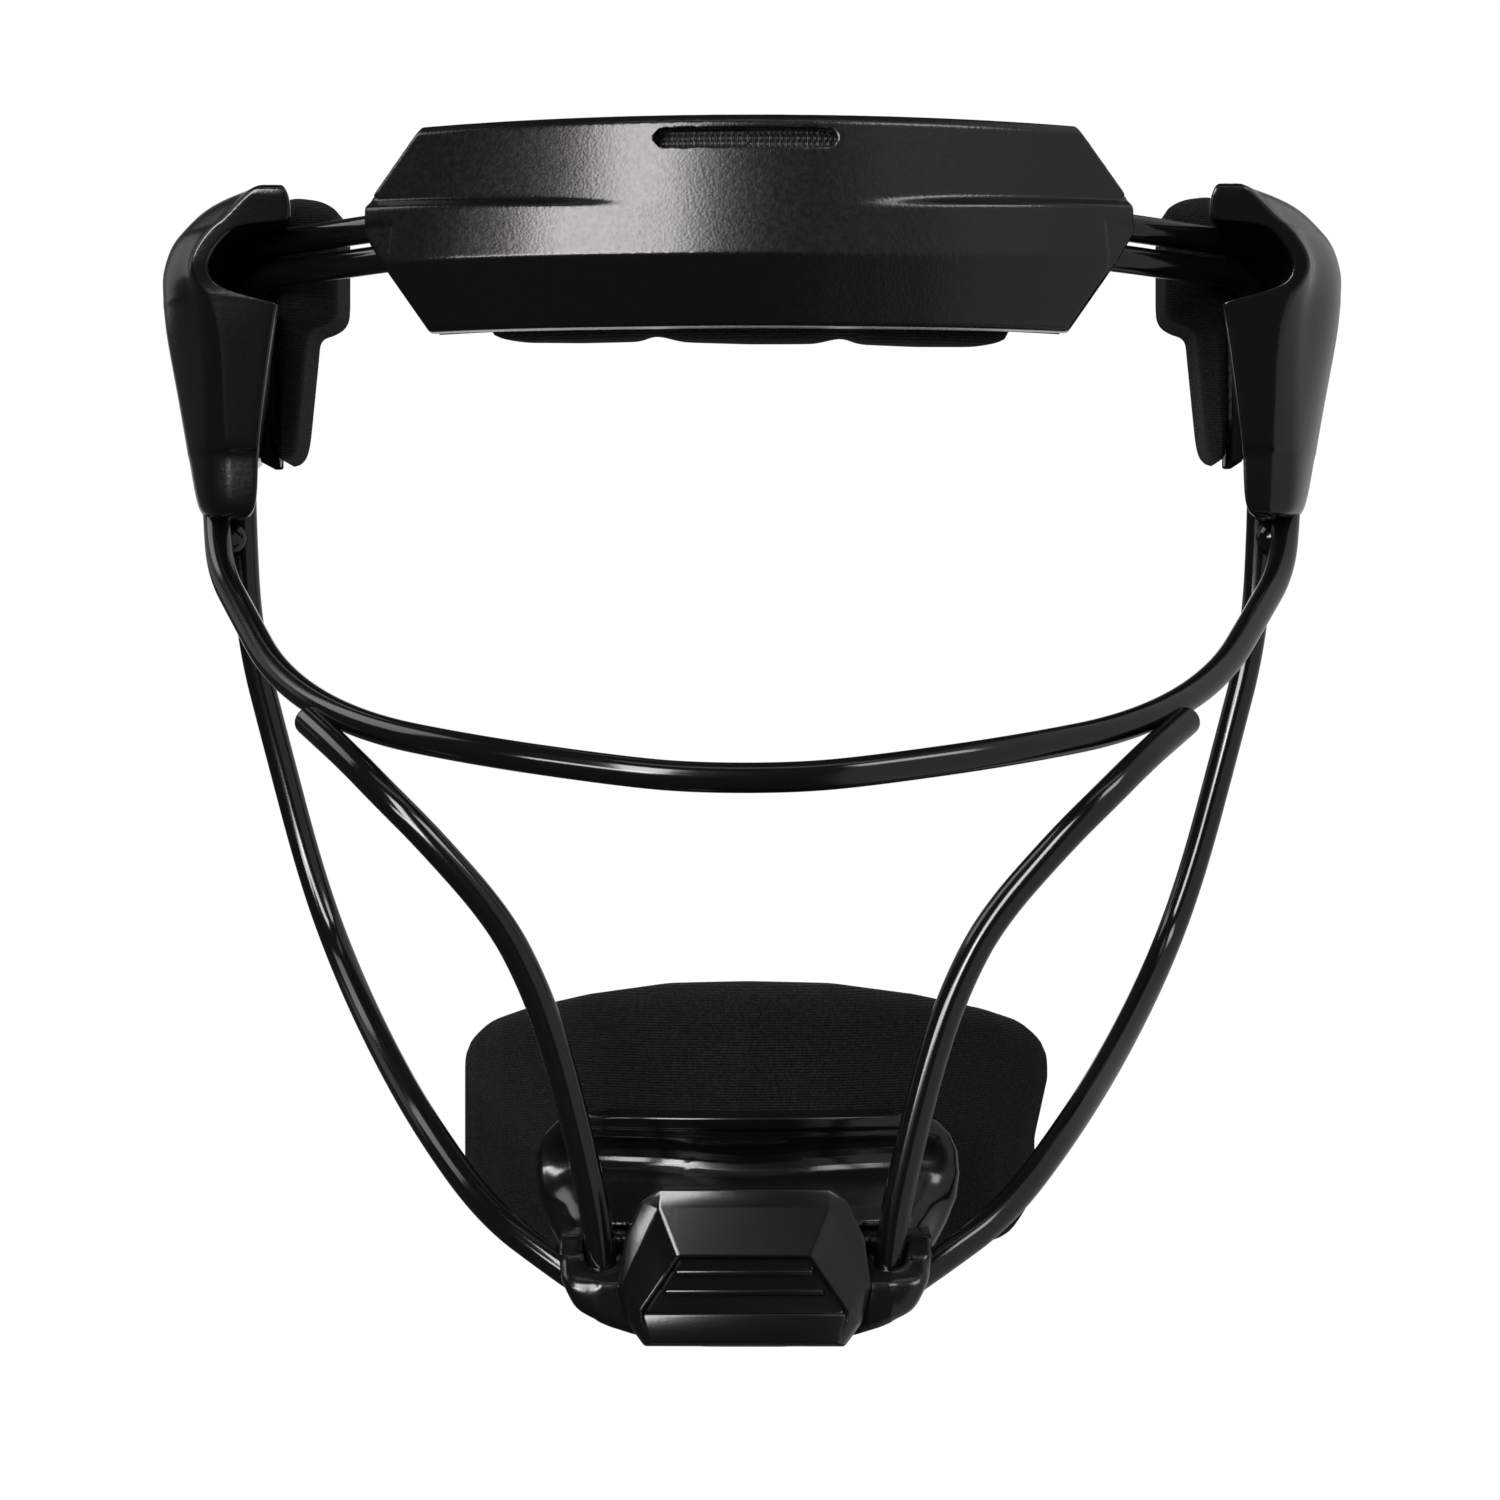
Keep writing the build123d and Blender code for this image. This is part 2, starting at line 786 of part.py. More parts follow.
def driven_screw(place, sunk, shaft_radius, length, head_radius, head_height):
    """A cross-head screw whose shaft points along the plane, its head behind it."""
    seat = place.offset(-sunk)
    socket_length = 2 * screw_socket_radius * head_radius / screw_head_radius
    with BuildPart() as screw:
        with BuildSketch(seat):
            Circle(shaft_radius)
        extrude(amount=length)
        with BuildSketch(seat):
            Circle(head_radius)
        extrude(amount=-head_height, taper=screw_head_taper)
        with BuildSketch(seat.offset(-head_height)):
            Rectangle(socket_length, screw_socket_width)
            Rectangle(screw_socket_width, socket_length)
        extrude(amount=screw_socket_depth * head_height / screw_head_height, mode=Mode.SUBTRACT)
    return screw.part


with BuildPart() as forehead_screws:
    for place in brow_screw_places:
        add(
            driven_screw(
                place,
                backing_thickness + screw_fit,
                screw_shaft_radius,
                screw_length,
                screw_head_radius,
                screw_head_height,
            )
        )

brow_tape_radius = backing_rear_radius - tape_thickness
with BuildPart() as forehead_hook_tape:
    add(
        turned_ring(
            brow_centre_y,
            [
                (brow_tape_radius, brow_pad_low_z + brow_tape_margin),
                (backing_rear_radius, brow_pad_low_z + brow_tape_margin),
                (backing_rear_radius, brow_pad_high_z - brow_tape_margin),
                (brow_tape_radius, brow_pad_high_z - brow_tape_margin),
            ],
            brow_pad_angle - brow_channel_width,
        )
    )


# Forehead pad, three crowned cushions divided by two sewn channels
def brow_station(angle, share):
    """A station of the forehead pad, lower where it is thinner."""
    lift = brow_pad_corner * (1 - share)
    return (angle, brow_pad_low_z + lift, brow_pad_high_z - lift, share)


brow_half_stations = [
    brow_station(0.0, 1.0),
    brow_station(brow_channel_angle - brow_channel_width, brow_cushion_share),
    brow_station(brow_channel_angle, brow_channel_share),
    brow_station(brow_channel_angle + brow_channel_width, brow_cushion_share),
    brow_station((brow_channel_angle + brow_pad_angle) / 2, 1.0),
    brow_station(brow_pad_angle - brow_channel_width, brow_end_share),
    brow_station(brow_pad_angle, brow_channel_share),
]
brow_stations = [
    (-angle, low, high, share) for angle, low, high, share in reversed(brow_half_stations[1:])
] + brow_half_stations
with BuildPart() as forehead_pad:
    add(
        arc_pad(
            brow_centre_y, brow_tape_radius, brow_pad_thickness, brow_stations, brow_pad_corner
        )
    )


# Temple shells. The left one is built and the right one is its mirror image.
def temple_points(shares):
    """Points of the front view, from shares of the way outwards and upwards."""
    return [
        (mixed(temple_inner_x, temple_bulge_x, out), mixed(temple_bottom_z, temple_top_z, up))
        for out, up in shares
    ]


def temple_plan(inset, ridge_x):
    """The plan view as a prism, moved in by a wall."""
    with BuildPart() as prism:
        with BuildSketch(Plane.XY.offset(temple_bottom_z - overrun)):
            with BuildLine():
                Polyline(
                    (temple_nose_x, temple_front_y),
                    (ridge_x, temple_front_y),
                    (temple_bulge_x, temple_bulge_y),
                    (temple_shoulder_x, temple_shoulder_y),
                    (temple_tab_x, temple_tab_y),
                    (temple_tab_x, temple_rear_y),
                    (temple_inner_x, temple_rear_y),
                    (temple_inner_x, temple_nose_y),
                    close=True,
                )
            make_face()
            if inset:
                offset(amount=-inset, kind=Kind.INTERSECTION, mode=Mode.REPLACE)
        extrude(amount=temple_top_z - temple_bottom_z + 2 * overrun)
    return prism.part


def temple_front(shares, inset):
    """A front outline of the temple shell as a prism, moved in by a wall."""
    with BuildPart() as prism:
        with BuildSketch(Plane.XZ.offset(-temple_rear_y - overrun)):
            with BuildLine():
                Polyline(*temple_points(shares), close=True)
            make_face()
            if inset:
                offset(amount=-inset, kind=Kind.INTERSECTION, mode=Mode.REPLACE)
        extrude(amount=temple_rear_y - temple_front_y + 2 * overrun)
    return prism.part


def temple_side(inset):
    """The side view of the temple shell as a prism, moved in by a wall."""
    with BuildPart() as prism:
        with BuildSketch(Plane.YZ.offset(temple_inner_x - overrun)):
            with BuildLine():
                Polyline(
                    *[
                        (
                            mixed(temple_front_y, temple_rear_y, back),
                            mixed(temple_bottom_z, temple_top_z, up),
                        )
                        for back, up in temple_side_shares
                    ],
                    close=True,
                )
            make_face()
            if inset:
                offset(amount=-inset, kind=Kind.INTERSECTION, mode=Mode.REPLACE)
        extrude(amount=temple_bulge_x - temple_inner_x + 2 * overrun)
    return prism.part


def temple_boss(inset):
    """The raised block at the top of the temple shell, over the wire bends."""
    with BuildPart() as boss:
        add(temple_plan(inset, temple_high_ridge_x))
        add(temple_front(temple_boss_shares, inset), mode=Mode.INTERSECT)
    return boss.part


def temple_block(inset):
    """The whole temple shell, solid, moved in by a wall."""
    with BuildPart() as block:
        add(temple_plan(inset, temple_low_ridge_x))
        add(temple_front(temple_outline_shares, inset), mode=Mode.INTERSECT)
        add(temple_boss(inset))
        add(temple_side(inset), mode=Mode.INTERSECT)
    return block.part


temple_screw_places = [
    Plane(
        origin=(temple_inner_x + temple_plate_thickness, temple_screw_y, height),
        x_dir=(0, 1, 0),
        z_dir=(1, 0, 0),
    )
    for height in (
        temple_screw_z - temple_screw_spacing / 2,
        temple_screw_z + temple_screw_spacing / 2,
    )
]
strap_slot_y = temple_rear_y - strap_slot_edge - strap_slot_width / 2


def temple_screw(place, fit):
    """A screw with a countersunk head, flush with the inner plate."""
    with BuildPart() as screw:
        with BuildSketch(place.offset(-temple_plate_thickness)):
            Circle(screw_head_radius + fit)
        with BuildSketch(place):
            Circle(screw_shaft_radius + fit)
        loft()
        with BuildSketch(place):
            Circle(screw_shaft_radius + fit)
        extrude(amount=screw_length - temple_plate_thickness)
    return screw.part


def wire_window():
    """The opening that the brow wires come in by."""
    return front_prism(
        temple_points(wire_window_shares), temple_front_y - overrun, temple_front_y + window_reach
    )


def temple_hollow():
    """The room inside the temple shell, open towards the head."""
    with BuildPart() as hollow:
        inner_block = temple_block(temple_wall)
        add(inner_block)
        add(inner_block.moved(Location((-2 * temple_wall, 0, 0))))
        with BuildSketch(Plane.XY.offset(temple_bottom_z - overrun)):
            with Locations((temple_inner_x, temple_void_rear_y)):
                Rectangle(2 * overrun, 2 * overrun, align=(Align.CENTER, Align.MIN))
        extrude(amount=temple_top_z - temple_bottom_z + 2 * overrun, mode=Mode.SUBTRACT)
    return hollow.part


solid_temple = temple_block(0)
temple_wires = [
    bent_wire(route, radii, wire_diameter + 2 * wire_fit)
    for route, radii in (
        (upper_route, brow_radii),
        (lower_route, brow_radii),
        (eye_route, bend_radii(eye_route)),
        (jaw_route, bend_radii(jaw_route)),
    )
]
with BuildPart() as temple_shell_left:
    add(solid_temple)
    with BuildSketch(Plane.XZ.offset(-temple_front_y)):
        with BuildLine():
            Polyline(*temple_points(front_panel_shares), close=True)
        make_face()
    extrude(amount=front_panel_raise)
    add(temple_hollow(), mode=Mode.SUBTRACT)
    add(posts(temple_screw_places, temple_bulge_x - temple_inner_x, solid_temple))
    for place in temple_screw_places:
        with BuildSketch(place):
            Circle(screw_shaft_radius + screw_fit)
        extrude(amount=screw_length - temple_plate_thickness, mode=Mode.SUBTRACT)
    add(wire_window(), mode=Mode.SUBTRACT)
    with BuildSketch(Plane.YZ.offset(temple_inner_x - overrun)):
        with Locations((strap_slot_y, strap_slot_z)):
            Rectangle(strap_slot_width, strap_slot_length)
    extrude(amount=3 * overrun, mode=Mode.SUBTRACT)
    for wire in temple_wires:
        add(wire, mode=Mode.SUBTRACT)

with BuildPart() as temple_inner_left:
    add(temple_plan(0, temple_low_ridge_x))
    add(
        temple_plan(0, temple_low_ridge_x).moved(Location((temple_plate_thickness, 0, 0))),
        mode=Mode.SUBTRACT,
    )
    add(temple_front(temple_plate_shares, 0), mode=Mode.INTERSECT)
    add(temple_side(temple_wall + slide_gap), mode=Mode.INTERSECT)
    with BuildSketch(Plane.XY.offset(temple_bottom_z - overrun)):
        with Locations((temple_inner_x, temple_void_rear_y - slide_gap)):
            Rectangle(2 * overrun, 2 * overrun, align=(Align.CENTER, Align.MIN))
        with Locations((temple_inner_x, temple_front_y + temple_wall + slide_gap)):
            Rectangle(2 * overrun, 2 * overrun, align=(Align.CENTER, Align.MAX))
    extrude(amount=temple_top_z - temple_bottom_z + 2 * overrun, mode=Mode.SUBTRACT)
    add(wire_window(), mode=Mode.SUBTRACT)
    for wire in temple_wires:
        add(wire, mode=Mode.SUBTRACT)
    for place in temple_screw_places:
        add(temple_screw(place, screw_fit), mode=Mode.SUBTRACT)

with BuildPart() as temple_screws_left:
    for place in temple_screw_places:
        add(temple_screw(place, 0))


# Temple pads and their hook tape
def lobe(low, high, thickness, front_y, rear_y):
    """A crowned cushion on the head's side of the temple tape."""
    base_x = temple_inner_x - tape_thickness
    with BuildPart() as cushion:
        for depth_share, crown_share in lobe_shares:
            drawn_in = lobe_crown * crown_share
            with BuildSketch(Plane.YZ.offset(base_x - thickness * depth_share)):
                with Locations(((front_y + rear_y) / 2, (low + high) / 2)):
                    RectangleRounded(
                        rear_y - front_y - 2 * drawn_in,
                        high - low - 2 * drawn_in,
                        lobe_corner - drawn_in / 2,
                    )
        loft(ruled=True)
    return cushion.part


with BuildPart() as temple_pad_left:
    add(
        lobe(
            upper_lobe_low_z,
            upper_lobe_high_z,
            upper_lobe_thickness,
            temple_pad_front_y,
            temple_pad_rear_y,
        )
    )
    add(
        lobe(
            lower_lobe_low_z,
            upper_lobe_low_z + lobe_overlap + 2 * lobe_waist,
            lower_lobe_thickness,
            temple_pad_front_y + lobe_waist,
            temple_pad_rear_y - lobe_waist,
        )
    )

with BuildPart() as temple_hook_tape_left:
    with BuildSketch(Plane.YZ.offset(temple_inner_x - tape_thickness)):
        with Locations(
            (
                (temple_pad_front_y + temple_pad_rear_y) / 2,
                (lower_lobe_low_z + upper_lobe_high_z) / 2,
            )
        ):
            RectangleRounded(
                temple_pad_rear_y - temple_pad_front_y - 2 * temple_tape_margin,
                upper_lobe_high_z - lower_lobe_low_z - 2 * temple_tape_margin,
                lobe_corner,
            )
    extrude(amount=tape_thickness)

with BuildPart() as temple_shell_right:
    add(temple_shell_left.part)
    mirror(about=Plane.YZ, mode=Mode.REPLACE)

with BuildPart() as temple_inner_right:
    add(temple_inner_left.part)
    mirror(about=Plane.YZ, mode=Mode.REPLACE)

with BuildPart() as temple_screws_right:
    add(temple_screws_left.part)
    mirror(about=Plane.YZ, mode=Mode.REPLACE)

with BuildPart() as temple_hook_tape_right:
    add(temple_hook_tape_left.part)
    mirror(about=Plane.YZ, mode=Mode.REPLACE)

with BuildPart() as temple_pad_right:
    add(temple_pad_left.part)
    mirror(about=Plane.YZ, mode=Mode.REPLACE)


# Chin cup: a flange above, a hollow front and a foot, on a wall that backs the pad
cup_profile = [
    (cup_back_radius, cup_foot_z),
    (cup_foot_radius, cup_foot_z),
    (cup_foot_radius, cup_foot_z + cup_wall),
    *[
        (mixed(cup_waist_radius, cup_foot_radius, out), mixed(cup_foot_z, cup_flange_z, up))
        for out, up in cup_front_shares
    ],
    (cup_flange_radius, cup_flange_z - cup_wall),
    (cup_flange_radius, cup_flange_z),
    (cup_back_radius, cup_flange_z),
]
cup_hollow = [
    (cup_back_radius + cup_wall, cup_foot_z + cup_wall),
    (cup_foot_radius - 2 * cup_wall, cup_foot_z + cup_wall),
    (cup_waist_radius - cup_wall, (cup_foot_z + cup_flange_z) / 2),
    (cup_waist_radius - cup_wall, cup_flange_z - cup_wall),
    (cup_back_radius + cup_wall, cup_flange_z - cup_wall),
]
cup_outline = mirrored_points(
    [
        (cup_half_width * out, mixed(cup_flange_z, cup_foot_z, down))
        for out, down in cup_outline_shares
        if out
    ]
)
arm_slot_half_width = arm_half_width + arm_gap
arm_lift_room = arm_length * math.sin(math.radians(latch_swing)) + 2 * arm_gap
serration_count = math.ceil(cup_travel / serration_pitch) + 1
with BuildPart() as chin_cup:
    add(turned_ring(chin_centre_y, cup_profile, cup_angle))
    add(turned_ring(chin_centre_y, cup_hollow, cup_hollow_angle), mode=Mode.SUBTRACT)
    add(front_prism(cup_outline, bracket_front_y, chin_centre_y), mode=Mode.INTERSECT)
    with BuildSketch(Plane.XY.offset(tongue_bottom_z)):
        with Locations((0, tongue_front_y)):
            Rectangle(
                2 * tongue_half_width,
                riser_front_y + riser_depth - tongue_front_y,
                align=(Align.CENTER, Align.MIN),
            )
    extrude(amount=tongue_top_z - tongue_bottom_z)
    with BuildSketch(Plane.XY.offset(tongue_bottom_z)):
        with Locations((0, riser_front_y)):
            Rectangle(2 * tongue_half_width, riser_depth, align=(Align.CENTER, Align.MIN))
    extrude(amount=cup_foot_z - tongue_bottom_z + cup_wall / 2)
    with BuildSketch(Plane.XY.offset(tongue_top_z - serration_depth)):
        with Locations((0, arm_tip_y - shoe_length / 2)):
            with GridLocations(0, serration_pitch, 1, serration_count):
                Rectangle(2 * arm_half_width, serration_width)
    extrude(amount=serration_depth, mode=Mode.SUBTRACT)
    with BuildSketch(Plane.XY.offset(cup_foot_z)):
        with Locations((0, arm_tip_y + cup_wall)):
            Rectangle(2 * arm_slot_half_width, overrun, align=(Align.CENTER, Align.MAX))
    extrude(amount=arm_lift_room, mode=Mode.SUBTRACT)

with BuildPart() as chin_hook_tape:
    add(
        turned_ring(
            chin_centre_y,
            [
                (chin_pad_radius + cup_gap, cup_foot_z + cup_tape_margin),
                (cup_back_radius, cup_foot_z + cup_tape_margin),
                (cup_back_radius, cup_flange_z - cup_tape_margin / 2),
                (chin_pad_radius + cup_gap, cup_flange_z - cup_tape_margin / 2),
            ],
            cup_tape_angle,
        )
    )


# Chin pad, a cushion that wraps round the chin
def chin_stations():
    """Stations of the chin pad from one side to the other."""
    height = chin_pad_top_z - chin_pad_bottom_z
    half = [
        (
            chin_pad_angle * out,
            chin_pad_bottom_z + height * lift,
            chin_pad_top_z - height * drop,
            share,
        )
        for out, drop, lift, share in chin_pad_shares
    ]
    return [(-angle, low, high, share) for angle, low, high, share in reversed(half[1:])] + half


with BuildPart() as chin_pad:
    add(
        arc_pad(
            chin_centre_y, chin_pad_radius, chin_pad_thickness, chin_stations(), chin_pad_corner
        )
    )


# Chin bracket in front, clamp behind, round the lower wire ends
bracket_outline = mirrored_points(
    [
        (bracket_half_width, bracket_top_z),
        (bracket_half_width, bracket_side_z),
        (bracket_hip_x, bracket_hip_z),
    ]
    + [
        (bracket_hip_x * out, mixed(bracket_hip_z, bracket_bottom_z, down))
        for out, down in bracket_foot_shares
    ]
)
latch_half_outline = [
    (latch_top_half_width, latch_top_z),
    (latch_wide_half_width, latch_wide_z),
    (latch_foot_half_width, latch_foot_z),
]
latch_outline = mirrored_points(latch_half_outline)
recess_foot = (latch_foot_half_width, latch_foot_z - overrun)
recess_outline = mirrored_points(latch_half_outline + [recess_foot])
shoulder_outline = [
    (bracket_front_y - overrun, shoulder_z),
    (bracket_front_y, shoulder_z),
    (shoulder_y, bracket_top_z),
    (shoulder_y, bracket_top_z + overrun),
    (bracket_front_y - overrun, bracket_top_z + overrun),
]
clamp_screw_places = [
    Plane(
        origin=(side * clamp_screw_x, bracket_rear_y, clamp_screw_z),
        x_dir=(-1, 0, 0),
        z_dir=(0, -1, 0),
    )
    for side in (-1, 1)
]
chin_wires = [
    bent_wire(route, bend_radii(route), wire_diameter + 2 * wire_fit)
    for route in (jaw_route, front_route, flipped(front_route))
]


foot_weld = (
    front_wire_foot_x - foot_weld_inset,
    chin_wire_y - wire_diameter / 2 - foot_weld_forward,
    chin_wire_z + foot_weld_lift,
)


def weld_room():
    """Room round the welds at the feet of the front wires."""
    with BuildPart() as room:
        with Locations(foot_weld, (-foot_weld[0], foot_weld[1], foot_weld[2])):
            Sphere(foot_weld_radius + wire_fit)
    return room.part


def tongue_channel():
    """The channel that the chin cup's tongue slides in."""
    with BuildPart() as channel:
        with BuildSketch(Plane.XY.offset(tongue_bottom_z - slide_gap)):
            with Locations((0, tongue_front_y - slide_gap)):
                Rectangle(
                    2 * (tongue_half_width + slide_gap),
                    bracket_rear_y - tongue_front_y + overrun,
                    align=(Align.CENTER, Align.MIN),
                )
        extrude(amount=tongue_top_z - tongue_bottom_z + 2 * slide_gap)
        with BuildSketch(Plane.XY.offset(tongue_top_z)):
            with Locations((0, bracket_front_y)):
                Rectangle(
                    2 * arm_slot_half_width,
                    bracket_rear_y - bracket_front_y + overrun,
                    align=(Align.CENTER, Align.MIN),
                )
        extrude(amount=overrun)
        with BuildSketch(Plane.XY.offset(pin_z - 2 * pin_radius - arm_gap)):
            with Locations((0, bracket_front_y)):
                Rectangle(
                    2 * arm_slot_half_width,
                    tongue_front_y - bracket_front_y,
                    align=(Align.CENTER, Align.MIN),
                )
        extrude(amount=overrun)
    return channel.part


bracket_holes = [
    driven_screw(
        place, 0, clamp_screw_radius + screw_fit, bracket_rear_y - clamp_screw_tip_y,
        clamp_head_radius, clamp_head_height,
    )
    for place in clamp_screw_places
]

with BuildPart() as chin_bracket:
    add(front_prism(bracket_outline, bracket_front_y, chin_wire_y))
    fillet(chin_bracket.faces().sort_by(Axis.Y)[0].edges(), bracket_round)
    with BuildSketch(Plane.YZ.offset(shoulder_inner_x)):
        with BuildLine():
            Polyline(*shoulder_outline, close=True)
        make_face()
    extrude(amount=overrun, mode=Mode.SUBTRACT)
    with BuildSketch(Plane.YZ.offset(-shoulder_inner_x)):
        with BuildLine():
            Polyline(*shoulder_outline, close=True)
        make_face()
    extrude(amount=-overrun, mode=Mode.SUBTRACT)
    with BuildSketch(Plane.XZ.offset(-recess_floor_y)):
        with BuildLine():
            Polyline(*recess_outline, close=True)
        make_face()
        offset(amount=latch_gap, kind=Kind.INTERSECTION, mode=Mode.REPLACE)
    extrude(amount=overrun, mode=Mode.SUBTRACT)
    add(tongue_channel(), mode=Mode.SUBTRACT)
    with BuildSketch(Plane.YZ.offset(-pin_half_length)):
        with Locations((pin_y, pin_z)):
            Circle(pin_radius + pin_fit)
    extrude(amount=2 * pin_half_length, mode=Mode.SUBTRACT)
    with BuildSketch(Plane.XZ.offset(-recess_floor_y)):
        with Locations((0, spring_z)):
            Circle(spring_pocket_radius)
    extrude(amount=-spring_pocket_depth, mode=Mode.SUBTRACT)
    for wire in chin_wires:
        add(wire, mode=Mode.SUBTRACT)
    add(weld_room(), mode=Mode.SUBTRACT)
    for hole in bracket_holes:
        add(hole, mode=Mode.SUBTRACT)

with BuildPart() as chin_clamp:
    add(front_prism(bracket_outline, chin_wire_y, bracket_rear_y))
    add(tongue_channel(), mode=Mode.SUBTRACT)
    for wire in chin_wires:
        add(wire, mode=Mode.SUBTRACT)
    add(weld_room(), mode=Mode.SUBTRACT)
    for hole in bracket_holes:
        add(hole, mode=Mode.SUBTRACT)

with BuildPart() as chin_clamp_screws:
    for place in clamp_screw_places:
        add(
            driven_screw(
                place, 0, clamp_screw_radius, bracket_rear_y - clamp_screw_tip_y,
                clamp_head_radius, clamp_head_height,
            )
        )


# Latch
def latch_bar(low_z, height, half_width, depth):
    """A raised bar across the latch's face."""
    with BuildPart() as bar:
        with BuildSketch(Plane.XZ.offset(-latch_front_y)):
            with Locations((0, low_z)):
                Rectangle(2 * half_width, height, align=(Align.CENTER, Align.MIN))
        extrude(amount=depth)
    return bar.part


with BuildPart() as chin_latch:
    with BuildSketch(Plane.XZ.offset(-latch_front_y)) as latch_plate:
        with BuildLine():
            Polyline(*latch_outline, close=True)
        make_face()
        fillet(latch_plate.vertices(), latch_corner)
    extrude(amount=-latch_thickness)
    with BuildSketch(Plane.XZ.offset(-latch_front_y)) as latch_face:
        with BuildLine():
            Polyline(*latch_outline, close=True)
        make_face()
        offset(amount=-latch_face_inset, kind=Kind.INTERSECTION, mode=Mode.REPLACE)
        fillet(latch_face.vertices(), latch_corner)
    extrude(amount=latch_face_raise)
    for row in range(2):
        add(
            latch_bar(
                latch_bar_z - row * latch_bar_pitch - latch_bar_height,
                latch_bar_height,
                latch_bar_half_width + row * latch_bar_height,
                latch_face_raise + latch_bar_depth,
            )
        )
    add(
        latch_bar(
            latch_foot_z + latch_face_inset,
            latch_foot_bar_height,
            latch_foot_half_width - latch_face_inset,
            latch_face_raise + latch_bar_depth,
        )
    )
    with BuildSketch(Plane.YZ.offset(-arm_half_width)):
        with BuildLine():
            Polyline(
                (latch_front_y + latch_thickness, pin_z - 2 * pin_radius),
                (pin_y + pin_radius, pin_z - 2 * pin_radius),
                (pin_y + 2 * pin_radius, tongue_top_z + arm_gap),
                (arm_tip_y - shoe_length, tongue_top_z + arm_gap),
                (arm_tip_y - shoe_length, tongue_top_z + shoe_gap),
                (arm_tip_y, tongue_top_z + shoe_gap),
                (arm_tip_y, tongue_top_z + arm_gap + arm_thickness),
                (latch_front_y + latch_thickness, tongue_top_z + arm_gap + arm_thickness),
                close=True,
            )
        make_face()
    extrude(amount=2 * arm_half_width)
    with BuildSketch(Plane.YZ.offset(-pin_half_length)):
        with Locations((pin_y, pin_z)):
            Circle(pin_radius + pin_fit)
    extrude(amount=2 * pin_half_length, mode=Mode.SUBTRACT)

with BuildPart() as latch_pin:
    with BuildSketch(Plane.YZ.offset(-pin_half_length)):
        with Locations((pin_y, pin_z)):
            Circle(pin_radius)
    extrude(amount=2 * pin_half_length)

spring_length = (latch_front_y + latch_thickness) - (recess_floor_y + spring_pocket_depth)
with BuildPart() as latch_spring:
    with BuildSketch(Plane.XZ.offset(-(recess_floor_y + spring_pocket_depth))):
        with Locations((0, spring_z)):
            Circle(spring_radius)
            Circle(spring_radius - spring_wire, mode=Mode.SUBTRACT)
    extrude(amount=-spring_length)


# Welds, each a bead in the corner where two wires touch
def weld_bead(place, radius, joined):
    """A bead of weld metal, fitted to the wires that it joins."""
    with BuildPart() as bead:
        with Locations(place):
            Sphere(radius)
        for wire in joined:
            add(wire.part, mode=Mode.SUBTRACT)
    return bead.part


side_weld = (
    (eye_leg_x + jaw_leg_x) / 2,
    (eye_leg_y + jaw_leg_y) / 2,
    leg_foot_z - wire_diameter,
)
front_weld = (front_weld_x, front_weld_y, front_weld_z)
brow_weld_turn = math.radians(brow_weld_angle)
brow_weld = (
    brow_wire_radius * math.sin(brow_weld_turn),
    brow_centre_y - brow_wire_radius * math.cos(brow_weld_turn),
    (brow_wire_z + upper_wire_z) / 2 + brow_weld_rise,
)
beads = [
    weld_bead(side_weld, weld_radius, (eye_bar, jaw_wire)),
    weld_bead(front_weld, weld_radius, (eye_bar, front_wire_left)),
    weld_bead(foot_weld, foot_weld_radius, (jaw_wire, front_wire_left)),
    weld_bead(brow_weld, brow_weld_radius, (forehead_wire_upper, forehead_wire_lower)),
]
with BuildPart() as weld_beads:
    for bead in beads:
        add(bead)
    mirror(about=Plane.YZ)

os.makedirs("parts", exist_ok=True)
pieces = {
    "forehead_wire_upper": forehead_wire_upper,
    "forehead_wire_lower": forehead_wire_lower,
    "eye_bar": eye_bar,
    "jaw_wire": jaw_wire,
    "front_wire_left": front_wire_left,
    "front_wire_right": front_wire_right,
    "weld_beads": weld_beads,
    "forehead_shell": forehead_shell,
    "vent_mesh": vent_mesh,
    "forehead_backing": forehead_backing,
    "forehead_screws": forehead_screws,
    "forehead_hook_tape": forehead_hook_tape,
    "forehead_pad": forehead_pad,
    "temple_shell_left": temple_shell_left,
    "temple_shell_right": temple_shell_right,
    "temple_inner_left": temple_inner_left,
    "temple_inner_right": temple_inner_right,
    "temple_screws_left": temple_screws_left,
    "temple_screws_right": temple_screws_right,
    "temple_hook_tape_left": temple_hook_tape_left,
    "temple_hook_tape_right": temple_hook_tape_right,
    "temple_pad_left": temple_pad_left,
    "temple_pad_right": temple_pad_right,
    "chin_bracket": chin_bracket,
    "chin_clamp": chin_clamp,
    "chin_clamp_screws": chin_clamp_screws,
    "chin_cup": chin_cup,
    "chin_hook_tape": chin_hook_tape,
    "chin_pad": chin_pad,
    "chin_latch": chin_latch,
    "latch_pin": latch_pin,
    "latch_spring": latch_spring,
}
for name, piece in pieces.items():
    piece.part.label = name
    export_step(piece.part, f"parts/{name}.step")
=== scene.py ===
import bmesh
import bpy
import math
from mathutils import Matrix, Vector


